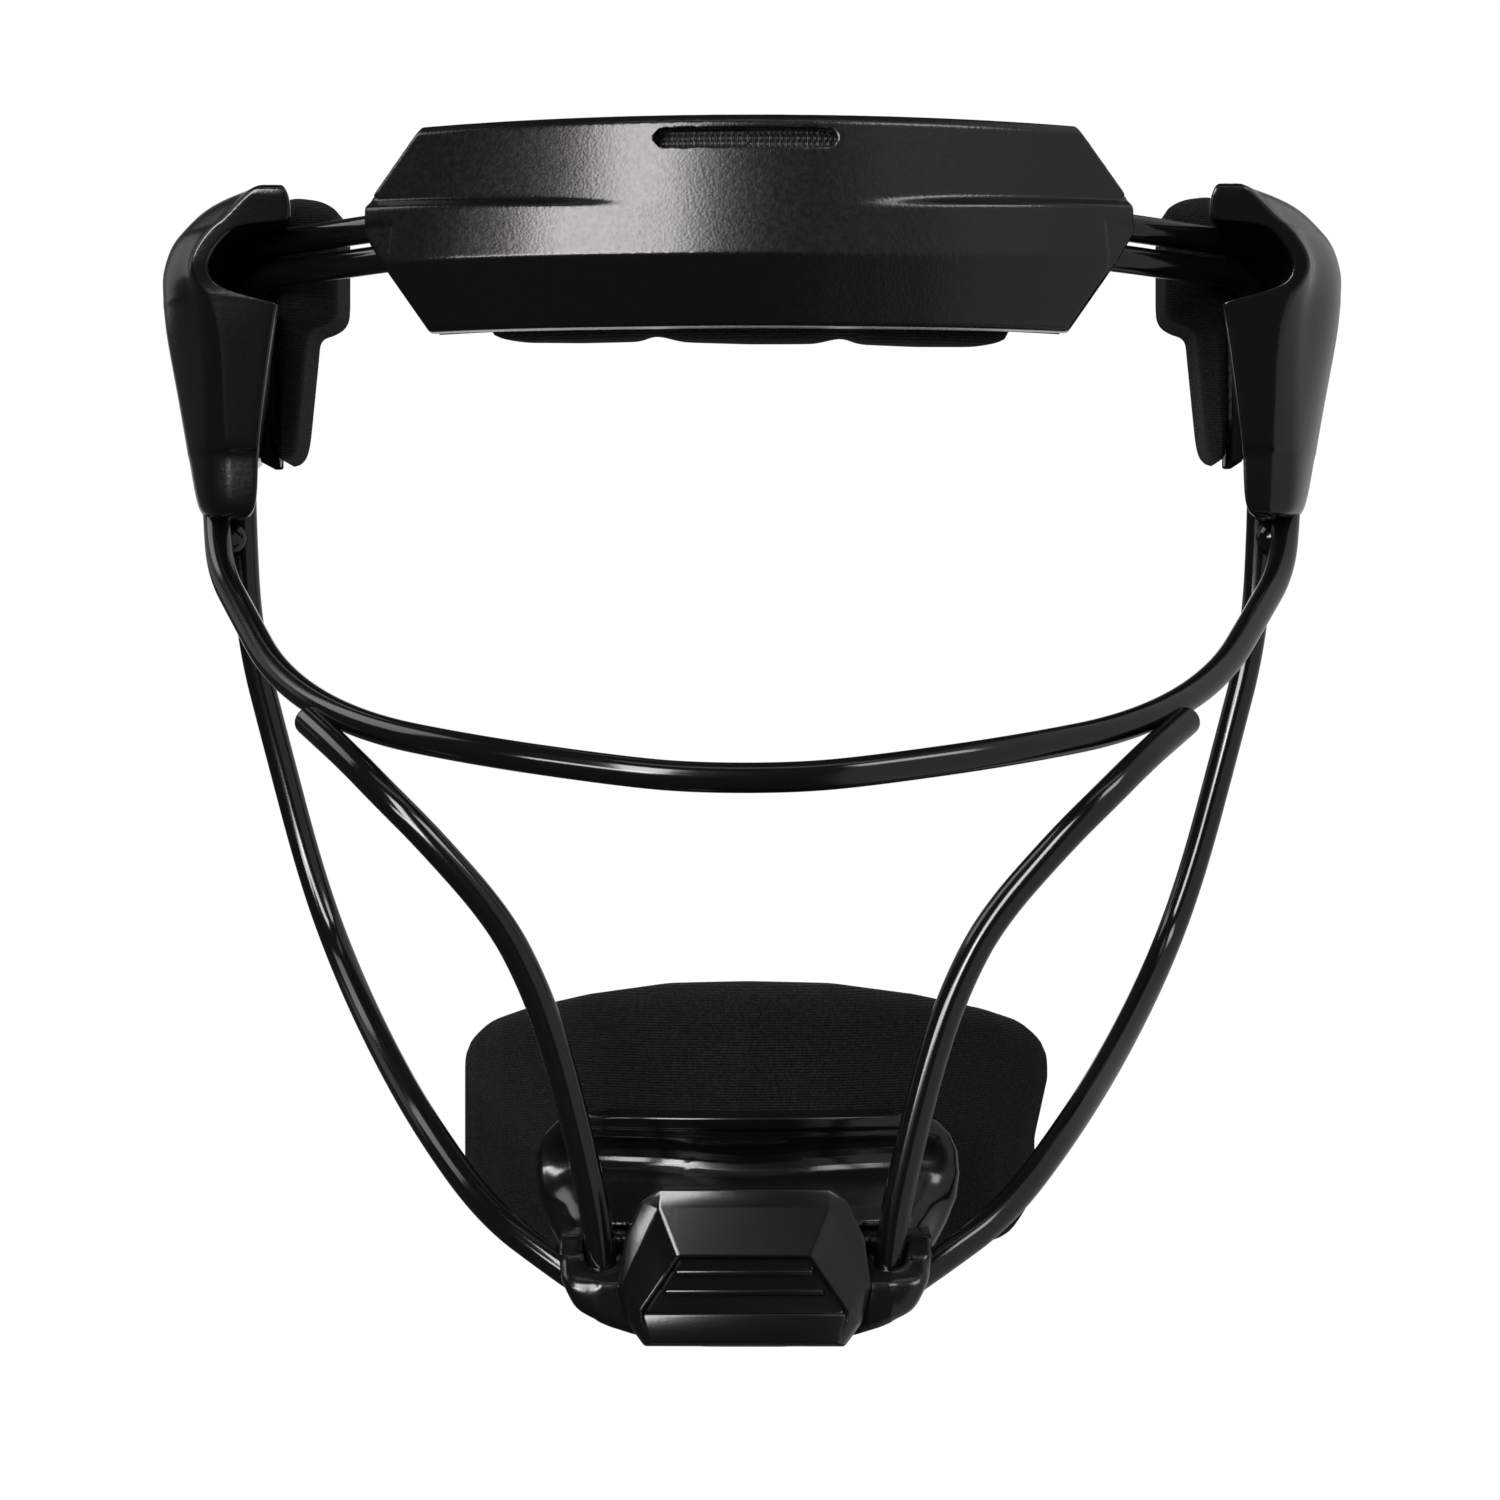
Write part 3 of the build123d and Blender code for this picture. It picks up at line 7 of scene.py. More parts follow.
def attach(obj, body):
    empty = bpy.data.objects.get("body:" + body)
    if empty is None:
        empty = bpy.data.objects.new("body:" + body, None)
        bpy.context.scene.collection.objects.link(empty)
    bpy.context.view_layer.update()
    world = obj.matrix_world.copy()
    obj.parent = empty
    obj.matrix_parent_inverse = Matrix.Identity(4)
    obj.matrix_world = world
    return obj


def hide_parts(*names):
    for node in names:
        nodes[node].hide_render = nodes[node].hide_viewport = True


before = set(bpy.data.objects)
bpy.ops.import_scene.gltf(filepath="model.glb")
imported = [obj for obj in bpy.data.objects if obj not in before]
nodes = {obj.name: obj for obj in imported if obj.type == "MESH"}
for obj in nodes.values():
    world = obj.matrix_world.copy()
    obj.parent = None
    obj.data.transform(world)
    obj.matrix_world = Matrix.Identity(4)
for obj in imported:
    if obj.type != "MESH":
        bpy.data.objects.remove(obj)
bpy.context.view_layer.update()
mm = 0.001


# Studio: a level camera 840 mm in front of the guard. A tall softbox and a low one stand to
# the left of the camera, a small one to its right, and weak ones light the top and the left
# flank. The room is white, its left half dark in reflections, and the floor fades into it.
def linear(code):
    """An sRGB hex colour as linear values."""
    parts = [int(code[i : i + 2], 16) / 255 for i in (1, 3, 5)]
    return [c / 12.92 if c <= 0.04045 else ((c + 0.055) / 1.055) ** 2.4 for c in parts] + [1.0]


def add_node(tree, kind, inputs=None, **settings):
    """A shader node with its settings, and its sockets set or linked."""
    made = tree.nodes.new("ShaderNode" + kind)
    for name, value in settings.items():
        setattr(made, name, value)
    for name, value in (inputs or {}).items():
        if isinstance(value, bpy.types.NodeSocket):
            tree.links.new(value, made.inputs[name])
        else:
            made.inputs[name].default_value = value
    return made


camera_distance = 0.840
camera_aside = 0.0007
camera_turn = math.radians(0.65)
camera = bpy.data.objects.new("camera", bpy.data.cameras.new("camera"))
camera.data.lens = 108.5
camera.data.sensor_width = 36.0
camera.location = (camera_distance * math.sin(camera_turn) - camera_aside, -camera_distance, 0.0)
camera.rotation_euler = (math.radians(90), 0, camera_turn)
bpy.context.collection.objects.link(camera)
bpy.context.scene.camera = camera
bpy.context.scene.view_settings.view_transform = "Standard"

for name, azimuth, elevation, distance, size, watts in (
    ("softbox_tall", -20, 25, 1.5, (0.40, 0.95), 19.0),
    ("softbox_low", -30, 7, 1.5, (0.75, 0.22), 8.0),
    ("softbox_top", 0, 72, 1.3, (0.70, 0.25), 0.6),
    ("softbox_side", -95, 40, 1.3, (0.70, 0.60), 3.2),
    ("softbox_flank", -128, 17, 1.3, (0.90, 0.50), 0.45),
    ("softbox_right", 36, 46, 1.5, (0.50, 0.40), 5.0),
):
    lamp = bpy.data.lights.new(name, "AREA")
    lamp.shape = "RECTANGLE"
    lamp.size, lamp.size_y = size
    lamp.energy = watts
    lamp.color = linear("#fffdfa")[:3]
    turn, lift = math.radians(azimuth), math.radians(elevation)
    place = Vector((math.sin(turn) * math.cos(lift), -math.cos(turn) * math.cos(lift),
                    math.sin(lift)))
    softbox = bpy.data.objects.new(name, lamp)
    softbox.location = place * distance
    softbox.rotation_euler = (-place).to_track_quat("-Z", "Y").to_euler()
    bpy.context.collection.objects.link(softbox)

# The camera sees a white room. Glossy faces see it dark on the left, pale on the right and
# white straight behind the guard, and all other faces get an even, weaker light from it.
room_dark, room_pale, room_scattered = 0.04, 0.5, 0.42
white = linear("#ffffff")
world = bpy.data.worlds.new("white_room")
world.use_nodes = True
bpy.context.scene.world = world
room = world.node_tree
room.nodes.clear()
rays = add_node(room, "LightPath")
aim = add_node(room, "TexCoord")
along = add_node(room, "SeparateXYZ", {"Vector": aim.outputs["Generated"]})
side = add_node(room, "MapRange", {"Value": along.outputs["X"], "From Min": 0.20,
                                   "From Max": 0.40, "To Min": room_dark, "To Max": room_pale},
                interpolation_type="SMOOTHSTEP")
behind = add_node(room, "MapRange", {"Value": along.outputs["Y"], "From Min": 0.93,
                                     "From Max": 0.99})
wall = add_node(room, "Math", {0: side.outputs["Result"], 1: behind.outputs["Result"]},
                operation="MAXIMUM")
mirrored = add_node(room, "Background", {"Color": white, "Strength": wall.outputs[0]})
scattered = add_node(room, "Background", {"Color": white, "Strength": room_scattered})
seen = add_node(room, "Background", {"Color": white, "Strength": 1.0})
gloss = add_node(room, "Math", {0: rays.outputs["Is Glossy Ray"],
                                1: rays.outputs["Is Transmission Ray"]}, operation="MAXIMUM")
indirect = add_node(room, "MixShader", {0: gloss.outputs[0], 1: scattered.outputs[0],
                                        2: mirrored.outputs[0]})
final = add_node(room, "MixShader", {0: rays.outputs["Is Camera Ray"], 1: indirect.outputs[0],
                                     2: seen.outputs[0]})
add_node(room, "OutputWorld", {"Surface": final.outputs[0]})


def new_object(name, mesh):
    """An object that holds a mesh, linked to the scene."""
    made = bpy.data.objects.new(name, mesh)
    bpy.context.collection.objects.link(made)
    return made


def mesh_of(name, form):
    """A mesh of that name, made from a form that isn't needed any more."""
    mesh = bpy.data.meshes.new(name)
    form.to_mesh(mesh)
    form.free()
    return mesh


def finish_of(name, colour, roughness):
    """A material with its shader set to a plain colour and roughness."""
    material = bpy.data.materials.new(name)
    material.use_nodes = True
    shader = material.node_tree.nodes["Principled BSDF"]
    shader.inputs["Base Color"].default_value = linear(colour)
    shader.inputs["Roughness"].default_value = roughness
    return material, material.node_tree, shader


floor_height = -0.20
floor_reach = 0.34
form = bmesh.new()
bmesh.ops.create_circle(form, cap_ends=True, segments=96, radius=floor_reach)
bmesh.ops.translate(form, vec=(0, 0, floor_height), verts=form.verts)
floor = new_object("floor", mesh_of("floor", form))
# Painted board: matt, near white, and towards its rim no darker than the room behind
paint, tree, shader = finish_of("painted_board", "#f4f4f3", 0.9)
where = add_node(tree, "TexCoord")
flat = add_node(tree, "VectorMath", {0: where.outputs["Object"], 1: (1, 1, 0)},
                operation="MULTIPLY")
spread = add_node(tree, "VectorMath", {0: flat.outputs[0]}, operation="LENGTH")
fade = add_node(tree, "MapRange", {"Value": spread.outputs["Value"],
                                   "From Min": 0.6 * floor_reach, "From Max": floor_reach})
glow = add_node(tree, "Emission", {"Color": white, "Strength": 1.0})
blend = add_node(tree, "MixShader", {0: fade.outputs["Result"], 1: shader.outputs[0],
                                     2: glow.outputs[0]})
tree.links.new(blend.outputs[0], tree.nodes["Material Output"].inputs["Surface"])
floor.data.materials.append(paint)
floor.visible_glossy = False


# Wires: 4.8 mm steel with its coating, bent cold and welded, then dipped in a glossy black
# vinyl that runs round every weld. The eye bar and the jaw wire go from temple to temple,
# and two front wires rise from the chin bracket to the eye bar.
wire_diameter = 4.8

# Dipped vinyl: nearly a mirror, its skin a little wavy where it ran, with a few dust pips
waves_per_mm, pips_per_mm = 0.26, 0.42
vinyl_relief = 0.03
coating, tree, shader = finish_of("vinyl_dip_coating", "#080809", 0.13)
shader.inputs["IOR"].default_value = 1.5
where = add_node(tree, "TexCoord")
waves = add_node(tree, "TexNoise", {"Vector": where.outputs["Object"],
                                    "Scale": waves_per_mm / mm, "Detail": 2.0})
pips = add_node(tree, "TexVoronoi", {"Vector": where.outputs["Object"],
                                     "Scale": pips_per_mm / mm})
pip = add_node(tree, "MapRange", {"Value": pips.outputs["Distance"], "From Min": 0.0,
                                  "From Max": 0.16, "To Min": 1.0, "To Max": 0.0})
skin = add_node(tree, "Bump", {"Height": waves.outputs["Fac"], "Distance": vinyl_relief * mm,
                               "Strength": 0.15})
spots = add_node(tree, "Bump", {"Height": pip.outputs["Result"], "Distance": vinyl_relief * mm,
                                "Strength": 0.25, "Normal": skin.outputs["Normal"]})
tree.links.new(spots.outputs["Normal"], shader.inputs["Normal"])

# A free end is a dome: how far short of the end each point lies, and its share of the width
dome = ((2.6, 1), (0.1, 1), (0, 0.02))


def wire(name, half, whole=True):
    """A round bar along a route in mm, its free ends domed. A whole bar is given as one half,
    from the middle outwards, and mirrored."""
    end, ahead = Vector(half[-1]), Vector(half[-1]) - Vector(half[-2])
    half = [(*place, 1) for place in half[:-1]]
    half += [(*(end - ahead.normalized() * short), size) for short, size in dome]
    route = [(-x, y, z, size) for x, y, z, size in reversed(half)] + half if whole else half
    line = bpy.data.curves.new(name, "CURVE")
    line.dimensions = "3D"
    line.bevel_depth = wire_diameter / 2 * mm
    line.bevel_resolution = 8
    line.resolution_u = 16
    line.use_fill_caps = True
    spline = line.splines.new("NURBS")
    spline.points.add(len(route) - 1)
    for point, place in zip(spline.points, route):
        point.co = (place[0] * mm, place[1] * mm, place[2] * mm, 1.0)
        point.radius = place[3]
    spline.use_endpoint_u = True
    spline.order_u = 3
    made = bpy.data.objects.new(name, line)
    bpy.context.collection.objects.link(made)
    line.materials.append(coating)
    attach(made, "guard")
    return made


nose_bar = wire("nose_bar", [
    (7.97, -140.2, -4.3), (19.98, -138.54, -3.19), (42.96, -129.97, 0.01),
    (63.03, -113.46, 3.9), (78.04, -90.97, 11.9), (86.48, -70.96, 23.48),
    (91.83, -57.96, 30.98), (93.8, -48.0, 42.0), (94.47, -46.22, 56.0)])
jaw_bar = wire("jaw_bar", [
    (21.5, -122.2, -87.5), (30.02, -119.71, -82.06), (41.48, -113.02, -74.55),
    (52.51, -96.99, -62.51), (62.54, -70.0, -50.98), (71.5, -49.53, -36.99),
    (77.5, -44.48, -21.97), (83.51, -43.0, 0.04), (88.61, -43.47, 19.98),
    (89.6, -44.4, 42.0), (89.39, -45.67, 56.0)])
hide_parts("eye_bar")
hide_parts("jaw_wire")
front_route = (
    (22.3, -127.0, -85.5), (22.9, -127.0, -77.12), (25.2, -127.28, -65.31),
    (29.5, -127.44, -48.09), (33.5, -127.44, -36.73), (39.0, -127.44, -26.36),
    (50.0, -127.0, -14.0), (57.2, -124.46, -7.1), (63.9, -117.56, -0.9), (71.9, -105.1, 5.2))
for side, sign in (("left", 1), ("right", -1)):
    bar = wire("chin_bar_" + side, [(sign * x, y, z) for x, y, z in front_route], whole=False)
    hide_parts("front_wire_" + side)
for node in ("forehead_wire_upper", "forehead_wire_lower"):
    nodes[node].material_slots[0].material = coating


# Welds: a bead of steel wherever one wire ends on another, dipped with the wires. The two
# at the tops of the front wires sit a little lower than the solids, as the eye bar does.
def cut_away(piece, cutter):
    """Takes a cutter's shape out of a piece."""
    taken = piece.modifiers.new(cutter.name, "BOOLEAN")
    taken.object = cutter
    taken.solver = "EXACT"


def settle(piece, cutters=()):
    """Makes a piece's modifiers final, removes its cutters, and shades it smooth and bare."""
    graph = bpy.context.evaluated_depsgraph_get()
    piece.data = bpy.data.meshes.new_from_object(piece.evaluated_get(graph))
    piece.modifiers.clear()
    for cutter in cutters:
        bpy.data.objects.remove(cutter)
    for face in piece.data.polygons:
        face.use_smooth = True
    piece.data.materials.clear()


def eased_copy(name, source, voxel, rounds, cutters=(), cuts=()):
    """The closed skin of a CAD piece with its arrises eased, as a mould leaves them. Voxel in
    mm. Cutters are taken away first, and so is what lies on the far side of each cut plane."""
    form = bmesh.new()
    form.from_mesh(nodes[source].data)
    bmesh.ops.remove_doubles(form, verts=form.verts, dist=0.01 * mm)
    for point, away in cuts:
        cut = bmesh.ops.bisect_plane(form, geom=form.verts[:] + form.edges[:] + form.faces[:],
                                     plane_co=Vector(point) * mm, plane_no=away,
                                     clear_outer=True)
        edges = [item for item in cut["geom_cut"] if isinstance(item, bmesh.types.BMEdge)]
        bmesh.ops.holes_fill(form, edges=edges)
    made = new_object(name, mesh_of(name, form))
    for cutter in cutters:
        cut_away(made, cutter)
    grid = made.modifiers.new("grid", "REMESH")
    grid.mode = "VOXEL"
    grid.voxel_size = voxel * mm
    ease = made.modifiers.new("ease", "SMOOTH")
    ease.factor = 0.5
    ease.iterations = rounds
    settle(made, cutters)
    made.data.name = name
    return made


weld_lowered, weld_set_back = 1.4, 0.5
welds = eased_copy("weld_runs", "weld_beads", 0.3, 6)
for vert in welds.data.vertices:
    if 60 * mm < abs(vert.co.x) < 80 * mm and vert.co.z < 20 * mm:
        vert.co.z -= weld_lowered * mm
        vert.co.y += weld_set_back * mm
welds.data.materials.append(coating)
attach(welds, "guard")
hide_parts("weld_beads")


# Forehead shell: one ABS moulding that covers the brow wires, screwed to the plate behind
# them. Its face has an upper and a lower facet. The lower one stands forward at the ends
# under a ledge, which fades out in the middle. The mould is spark eroded.
pebbles_per_mm, patches_per_mm = 1.9, 1.2
pebble_relief = 0.04
grained, tree, shader = finish_of("spark_grained_abs", "#070708", 0.24)
# Moulded ABS off an eroded tool: pebbles of half a millimetre break up a satin shine
where = add_node(tree, "TexCoord")
pebbles = add_node(tree, "TexVoronoi", {"Vector": where.outputs["Object"],
                                        "Scale": pebbles_per_mm / mm})
patches = add_node(tree, "TexNoise", {"Vector": where.outputs["Object"],
                                      "Scale": patches_per_mm / mm, "Detail": 2.0})
grain = add_node(tree, "Math", {0: pebbles.outputs["Distance"], 1: patches.outputs["Fac"]},
                 operation="ADD")
relief = add_node(tree, "Bump", {"Height": grain.outputs[0], "Distance": pebble_relief * mm,
                                 "Strength": 0.32})
tree.links.new(relief.outputs["Normal"], shader.inputs["Normal"])
shine = add_node(tree, "MapRange", {"Value": patches.outputs["Fac"], "From Min": 0.3,
                                    "From Max": 0.7, "To Min": 0.21, "To Max": 0.27})
tree.links.new(shine.outputs["Result"], shader.inputs["Roughness"])


def eased(value):
    """A step from 0 to 1 with soft ends."""
    value = min(1, max(0, value))
    return value * value * (3 - 2 * value)


def mix(start, end, share):
    """The value a share of the way from start to end."""
    return start + (end - start) * share


def along_table(table, place):
    """The value at a place in a table of places and values, whose places rise or fall."""
    place = min(max(row[0] for row in table), max(min(row[0] for row in table), place))
    for (first, before), (second, after) in zip(table, table[1:]):
        if min(first, second) <= place <= max(first, second):
            return mix(before, after, (place - first) / (second - first))


def even_out(form, verts):
    """Moves each vertex half way to the middle of its neighbours."""
    bmesh.ops.smooth_vert(form, verts=verts, factor=0.5, use_axis_x=True, use_axis_y=True,
                          use_axis_z=True)


def slot_cutter(name, radius, run, depth, axis, place):
    """A bar to cut a slot, in mm, through along axis X or Y. It has two round ends, the first
    at place and the second one run away."""
    across = Matrix.Rotation(math.radians(90), 4, "X" if axis == "Y" else "Y")
    form = bmesh.new()
    bmesh.ops.create_cone(form, cap_ends=True, segments=48, radius1=radius * mm,
                          radius2=radius * mm, depth=depth * mm, matrix=across)
    for vert in form.verts:
        if vert.co.dot(Vector(run)) > 0.0001 * mm:
            vert.co += Vector(run) * mm
    bmesh.ops.translate(form, vec=Vector(place) * mm, verts=form.verts)
    return new_object(name, mesh_of(name, form))


# The shell bends round an upright axis at brow_centre_y. Turns are degrees from its middle,
# and the face's radius is given by height
brow_centre_y = 13.0
face_radii = ((69.0, 107.5), (81.6, 113.0), (102.8, 110.0), (104.0, 108.8))
face_fold, fold_to_top, fold_to_foot = 81.6, 22.4, 12.6
face_lowered, top_raised, foot_raised = 0.2, 0.9, 1.2
face_wall = 1.9
facing, facing_over = 0.86, 0.06
ledge_height, ledge_level_to, ledge_rise, ledge_softness = 90.6, 18.0, 0.04, 1.7
ledge_turn, ledge_drop = 10.7, 21.0
riser_foot, riser_top, riser_turn = 88.0, 93.0, 16.0
swell_start, swell_steady, swell_end = 6.6, 15.5, 24
swell_gain, swell_slope, swell_ebb = 0.0122, 0.217, 0.018
widest_turn = 30


def below_ledge(place):
    """1 below the line of the ledge and 0 above it."""
    line = ledge_height + max(0, abs(place.x) - ledge_level_to) * ledge_rise
    return eased((line - place.z) / ledge_softness)


cover = eased_copy("forehead_cover", "forehead_shell", 0.4, 6)
form = bmesh.new()
form.from_mesh(cover.data)
form.normal_update()
risers = []
for vert in form.verts:
    place = vert.co / mm
    out = Vector((place.x, place.y - brow_centre_y, 0))
    turn = math.degrees(math.asin(abs(place.x) / out.length))
    step = ledge_drop * (1 - math.cos(math.radians(max(0, turn - ledge_turn))))
    face = along_table(face_radii, min(103.9, max(69.1, place.z)))
    outward = vert.normal.dot(out.normalized())
    on_face = eased((outward - facing) / facing_over) * (out.length > face - face_wall)
    if (riser_foot < place.z < riser_top and out.length > face - step - 0.6
            and outward + abs(vert.normal.z) > 0.6):
        on_face = 1
        if turn > riser_turn:
            risers.append(vert)
    forward = mix(step * below_ledge(place), face - out.length, on_face)
    vert.co.y -= forward / math.cos(math.radians(min(turn, widest_turn))) * mm
for _ in range(5):
    even_out(form, risers)
for vert in form.verts:
    place = vert.co / mm
    turn = min(widest_turn, math.degrees(math.atan2(abs(place.x), brow_centre_y - place.y)))
    swell = (swell_gain * max(0, min(turn, swell_steady) - swell_start) ** 2
             + swell_slope * max(0, turn - swell_steady)
             - swell_ebb * max(0, turn - swell_end) ** 2)
    vert.co.y -= swell * below_ledge(place) * mm
    vert.co.z += (top_raised * max(0, place.z - face_fold) / fold_to_top - face_lowered
                  + foot_raised * max(0, face_fold - place.z) / fold_to_foot) * mm
even_out(form, form.verts)
form.to_mesh(cover.data)
form.free()
vent_slot = slot_cutter("vent_way", 1.65, (24.7, 0, 0), 20.0, "Y", (-13.9, -98.0, 100.75))
cut_away(cover, vent_slot)
settle(cover, [vent_slot])
cover.data.materials.append(grained)
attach(cover, "guard")
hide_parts("forehead_shell")


# Vent strip: a ribbon of black woven polyester, welded behind the slot near the shell's top.
# Its threads are made twice: a coarse over and under in the mesh, and finer threads in the
# material, 0.35 mm apart, as coarse as they need to be to show.
threads_per_mm, thread_relief = 2.8648, 0.1
wave_repeat = math.pi / 10  # a wave texture at scale 1 repeats every 0.314 m
woven, tree, shader = finish_of("woven_vent_strip", "#161617", 0.45)
# Woven polyester: fine lines of light along the threads and a dull ground between them
where = add_node(tree, "TexCoord")
threads = add_node(tree, "TexWave", {"Vector": where.outputs["Object"],
                                     "Scale": threads_per_mm * wave_repeat / mm})
weave = add_node(tree, "Bump", {"Height": threads.outputs["Fac"],
                                "Distance": thread_relief * mm, "Strength": 0.5})
tree.links.new(weave.outputs["Normal"], shader.inputs["Normal"])

vent_radius, vent_height = 106.6, 100.6
vent_half_length, vent_half_width = 16.0, 2.6
weave_rise = 0.22
weave_rate = 3.5  # radians to the mm, so one crossing every 0.9 mm
form = bmesh.new()
bmesh.ops.create_grid(form, x_segments=200, y_segments=28, size=1.0)
for vert in form.verts:
    along, up = vert.co.x * vent_half_length, vert.co.y * vent_half_width
    odd = math.pi * (int(along * weave_rate / math.pi) % 2)
    swell = weave_rise * math.sin(along * weave_rate) * math.sin(up * weave_rate + odd)
    turn = along / vent_radius
    vert.co = (math.sin(turn) * (vent_radius + swell) * mm,
               (brow_centre_y - math.cos(turn) * (vent_radius + swell)) * mm,
               (vent_height + up) * mm)
strip = new_object("vent_strip", mesh_of("vent_strip", form))
for face in strip.data.polygons:
    face.use_smooth = True
gauge = strip.modifiers.new("gauge", "SOLIDIFY")
gauge.thickness = 0.4 * mm
strip.data.materials.append(woven)
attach(strip, "guard")
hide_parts("vent_mesh")


# Backing plates: polypropylene mouldings, one behind the brow wires and one inside each
# temple shell. The shells are screwed to them from behind. A temple plate ends above the
# shell's foot and behind its front, where the shell closes in.
flow_per_mm, plate_relief = 0.7, 0.05
plate, tree, shader = finish_of("moulded_polypropylene", "#0e0e0f", 0.55)
# Moulded polypropylene: dull and slightly uneven, with no clear highlight
shader.inputs["Specular IOR Level"].default_value = 0.0
where = add_node(tree, "TexCoord")
flow = add_node(tree, "TexNoise", {"Vector": where.outputs["Object"],
                                   "Scale": flow_per_mm / mm, "Detail": 2.0})
relief = add_node(tree, "Bump", {"Height": flow.outputs["Fac"], "Distance": plate_relief * mm,
                                 "Strength": 0.5})
tree.links.new(relief.outputs["Normal"], shader.inputs["Normal"])

nodes["forehead_backing"].material_slots[0].material = plate
lid_foot, lid_front_y = 50.5, -46.0
for side in ("left", "right"):
    lid = eased_copy("temple_lid_" + side, "temple_inner_" + side, 0.35, 2,
                     cuts=[((0, 0, lid_foot), (0, 0, -1)), ((0, lid_front_y, 0), (0, -1, 0))])
    lid.data.materials.append(plate)
    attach(lid, "guard")
    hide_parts("temple_inner_" + side)


# Screws: pan head steel screws, zinc plated and blackened. They hold the shells to their
# backing plates, and the clamp to the chin bracket.
zinc_per_mm, zinc_relief = 1.8, 0.02
zinc, tree, shader = finish_of("black_zinc_steel", "#2a2a2c", 0.32)
# Black zinc: dark metal with a faintly mottled shine
shader.inputs["Metallic"].default_value = 1.0
where = add_node(tree, "TexCoord")
mottle = add_node(tree, "TexNoise", {"Vector": where.outputs["Object"],
                                     "Scale": zinc_per_mm / mm})
relief = add_node(tree, "Bump", {"Height": mottle.outputs["Fac"], "Distance": zinc_relief * mm,
                                 "Strength": 0.5})
tree.links.new(relief.outputs["Normal"], shader.inputs["Normal"])
for node in ("forehead_screws", "temple_screws_left", "temple_screws_right",
             "chin_clamp_screws"):
    nodes[node].material_slots[0].material = zinc


# Hook tape: nylon hooks on a woven back, glued to the plates and to the chin cup. The pads
# press on to it and peel off for washing.
hooks_per_mm, hook_relief = 1.1, 0.3
hooks, tree, shader = finish_of("nylon_hook_tape", "#101011", 0.7)
# Hook tape: rough and dull, a field of small heads with dark gaps between them
where = add_node(tree, "TexCoord")
heads = add_node(tree, "TexVoronoi", {"Vector": where.outputs["Object"],
                                      "Scale": hooks_per_mm / mm})
relief = add_node(tree, "Bump", {"Height": heads.outputs["Distance"],
                                 "Distance": hook_relief * mm, "Strength": 0.8})
tree.links.new(relief.outputs["Normal"], shader.inputs["Normal"])
for node in ("forehead_hook_tape", "temple_hook_tape_left", "temple_hook_tape_right",
             "chin_hook_tape"):
    nodes[node].material_slots[0].material = hooks


# Temple shells: ABS mouldings, one on each side, that hook over the bends of the wires and
# take a strap through a slot at the rear. Each is faceted in front, has a hooked rim over
# a hollow, and is lofted here from level sections.
smooth_per_mm, smooth_relief = 1.3, 0.04
smooth, tree, shader = finish_of("smooth_satin_abs", "#070708", 0.19)
# Moulded ABS off a fine tool: satin, smoother than the forehead, its highlights just broken
where = add_node(tree, "TexCoord")
flow = add_node(tree, "TexNoise", {"Vector": where.outputs["Object"],
                                   "Scale": smooth_per_mm / mm, "Detail": 3.0})
relief = add_node(tree, "Bump", {"Height": flow.outputs["Fac"], "Distance": smooth_relief * mm,
                                 "Strength": 0.6})
tree.links.new(relief.outputs["Normal"], shader.inputs["Normal"])

temple_wall_x = 84.5
temple_tab_x, temple_tab_front_y = 91.0, -24.0
temple_rear_y = -4.0
bulge_y = -44.0
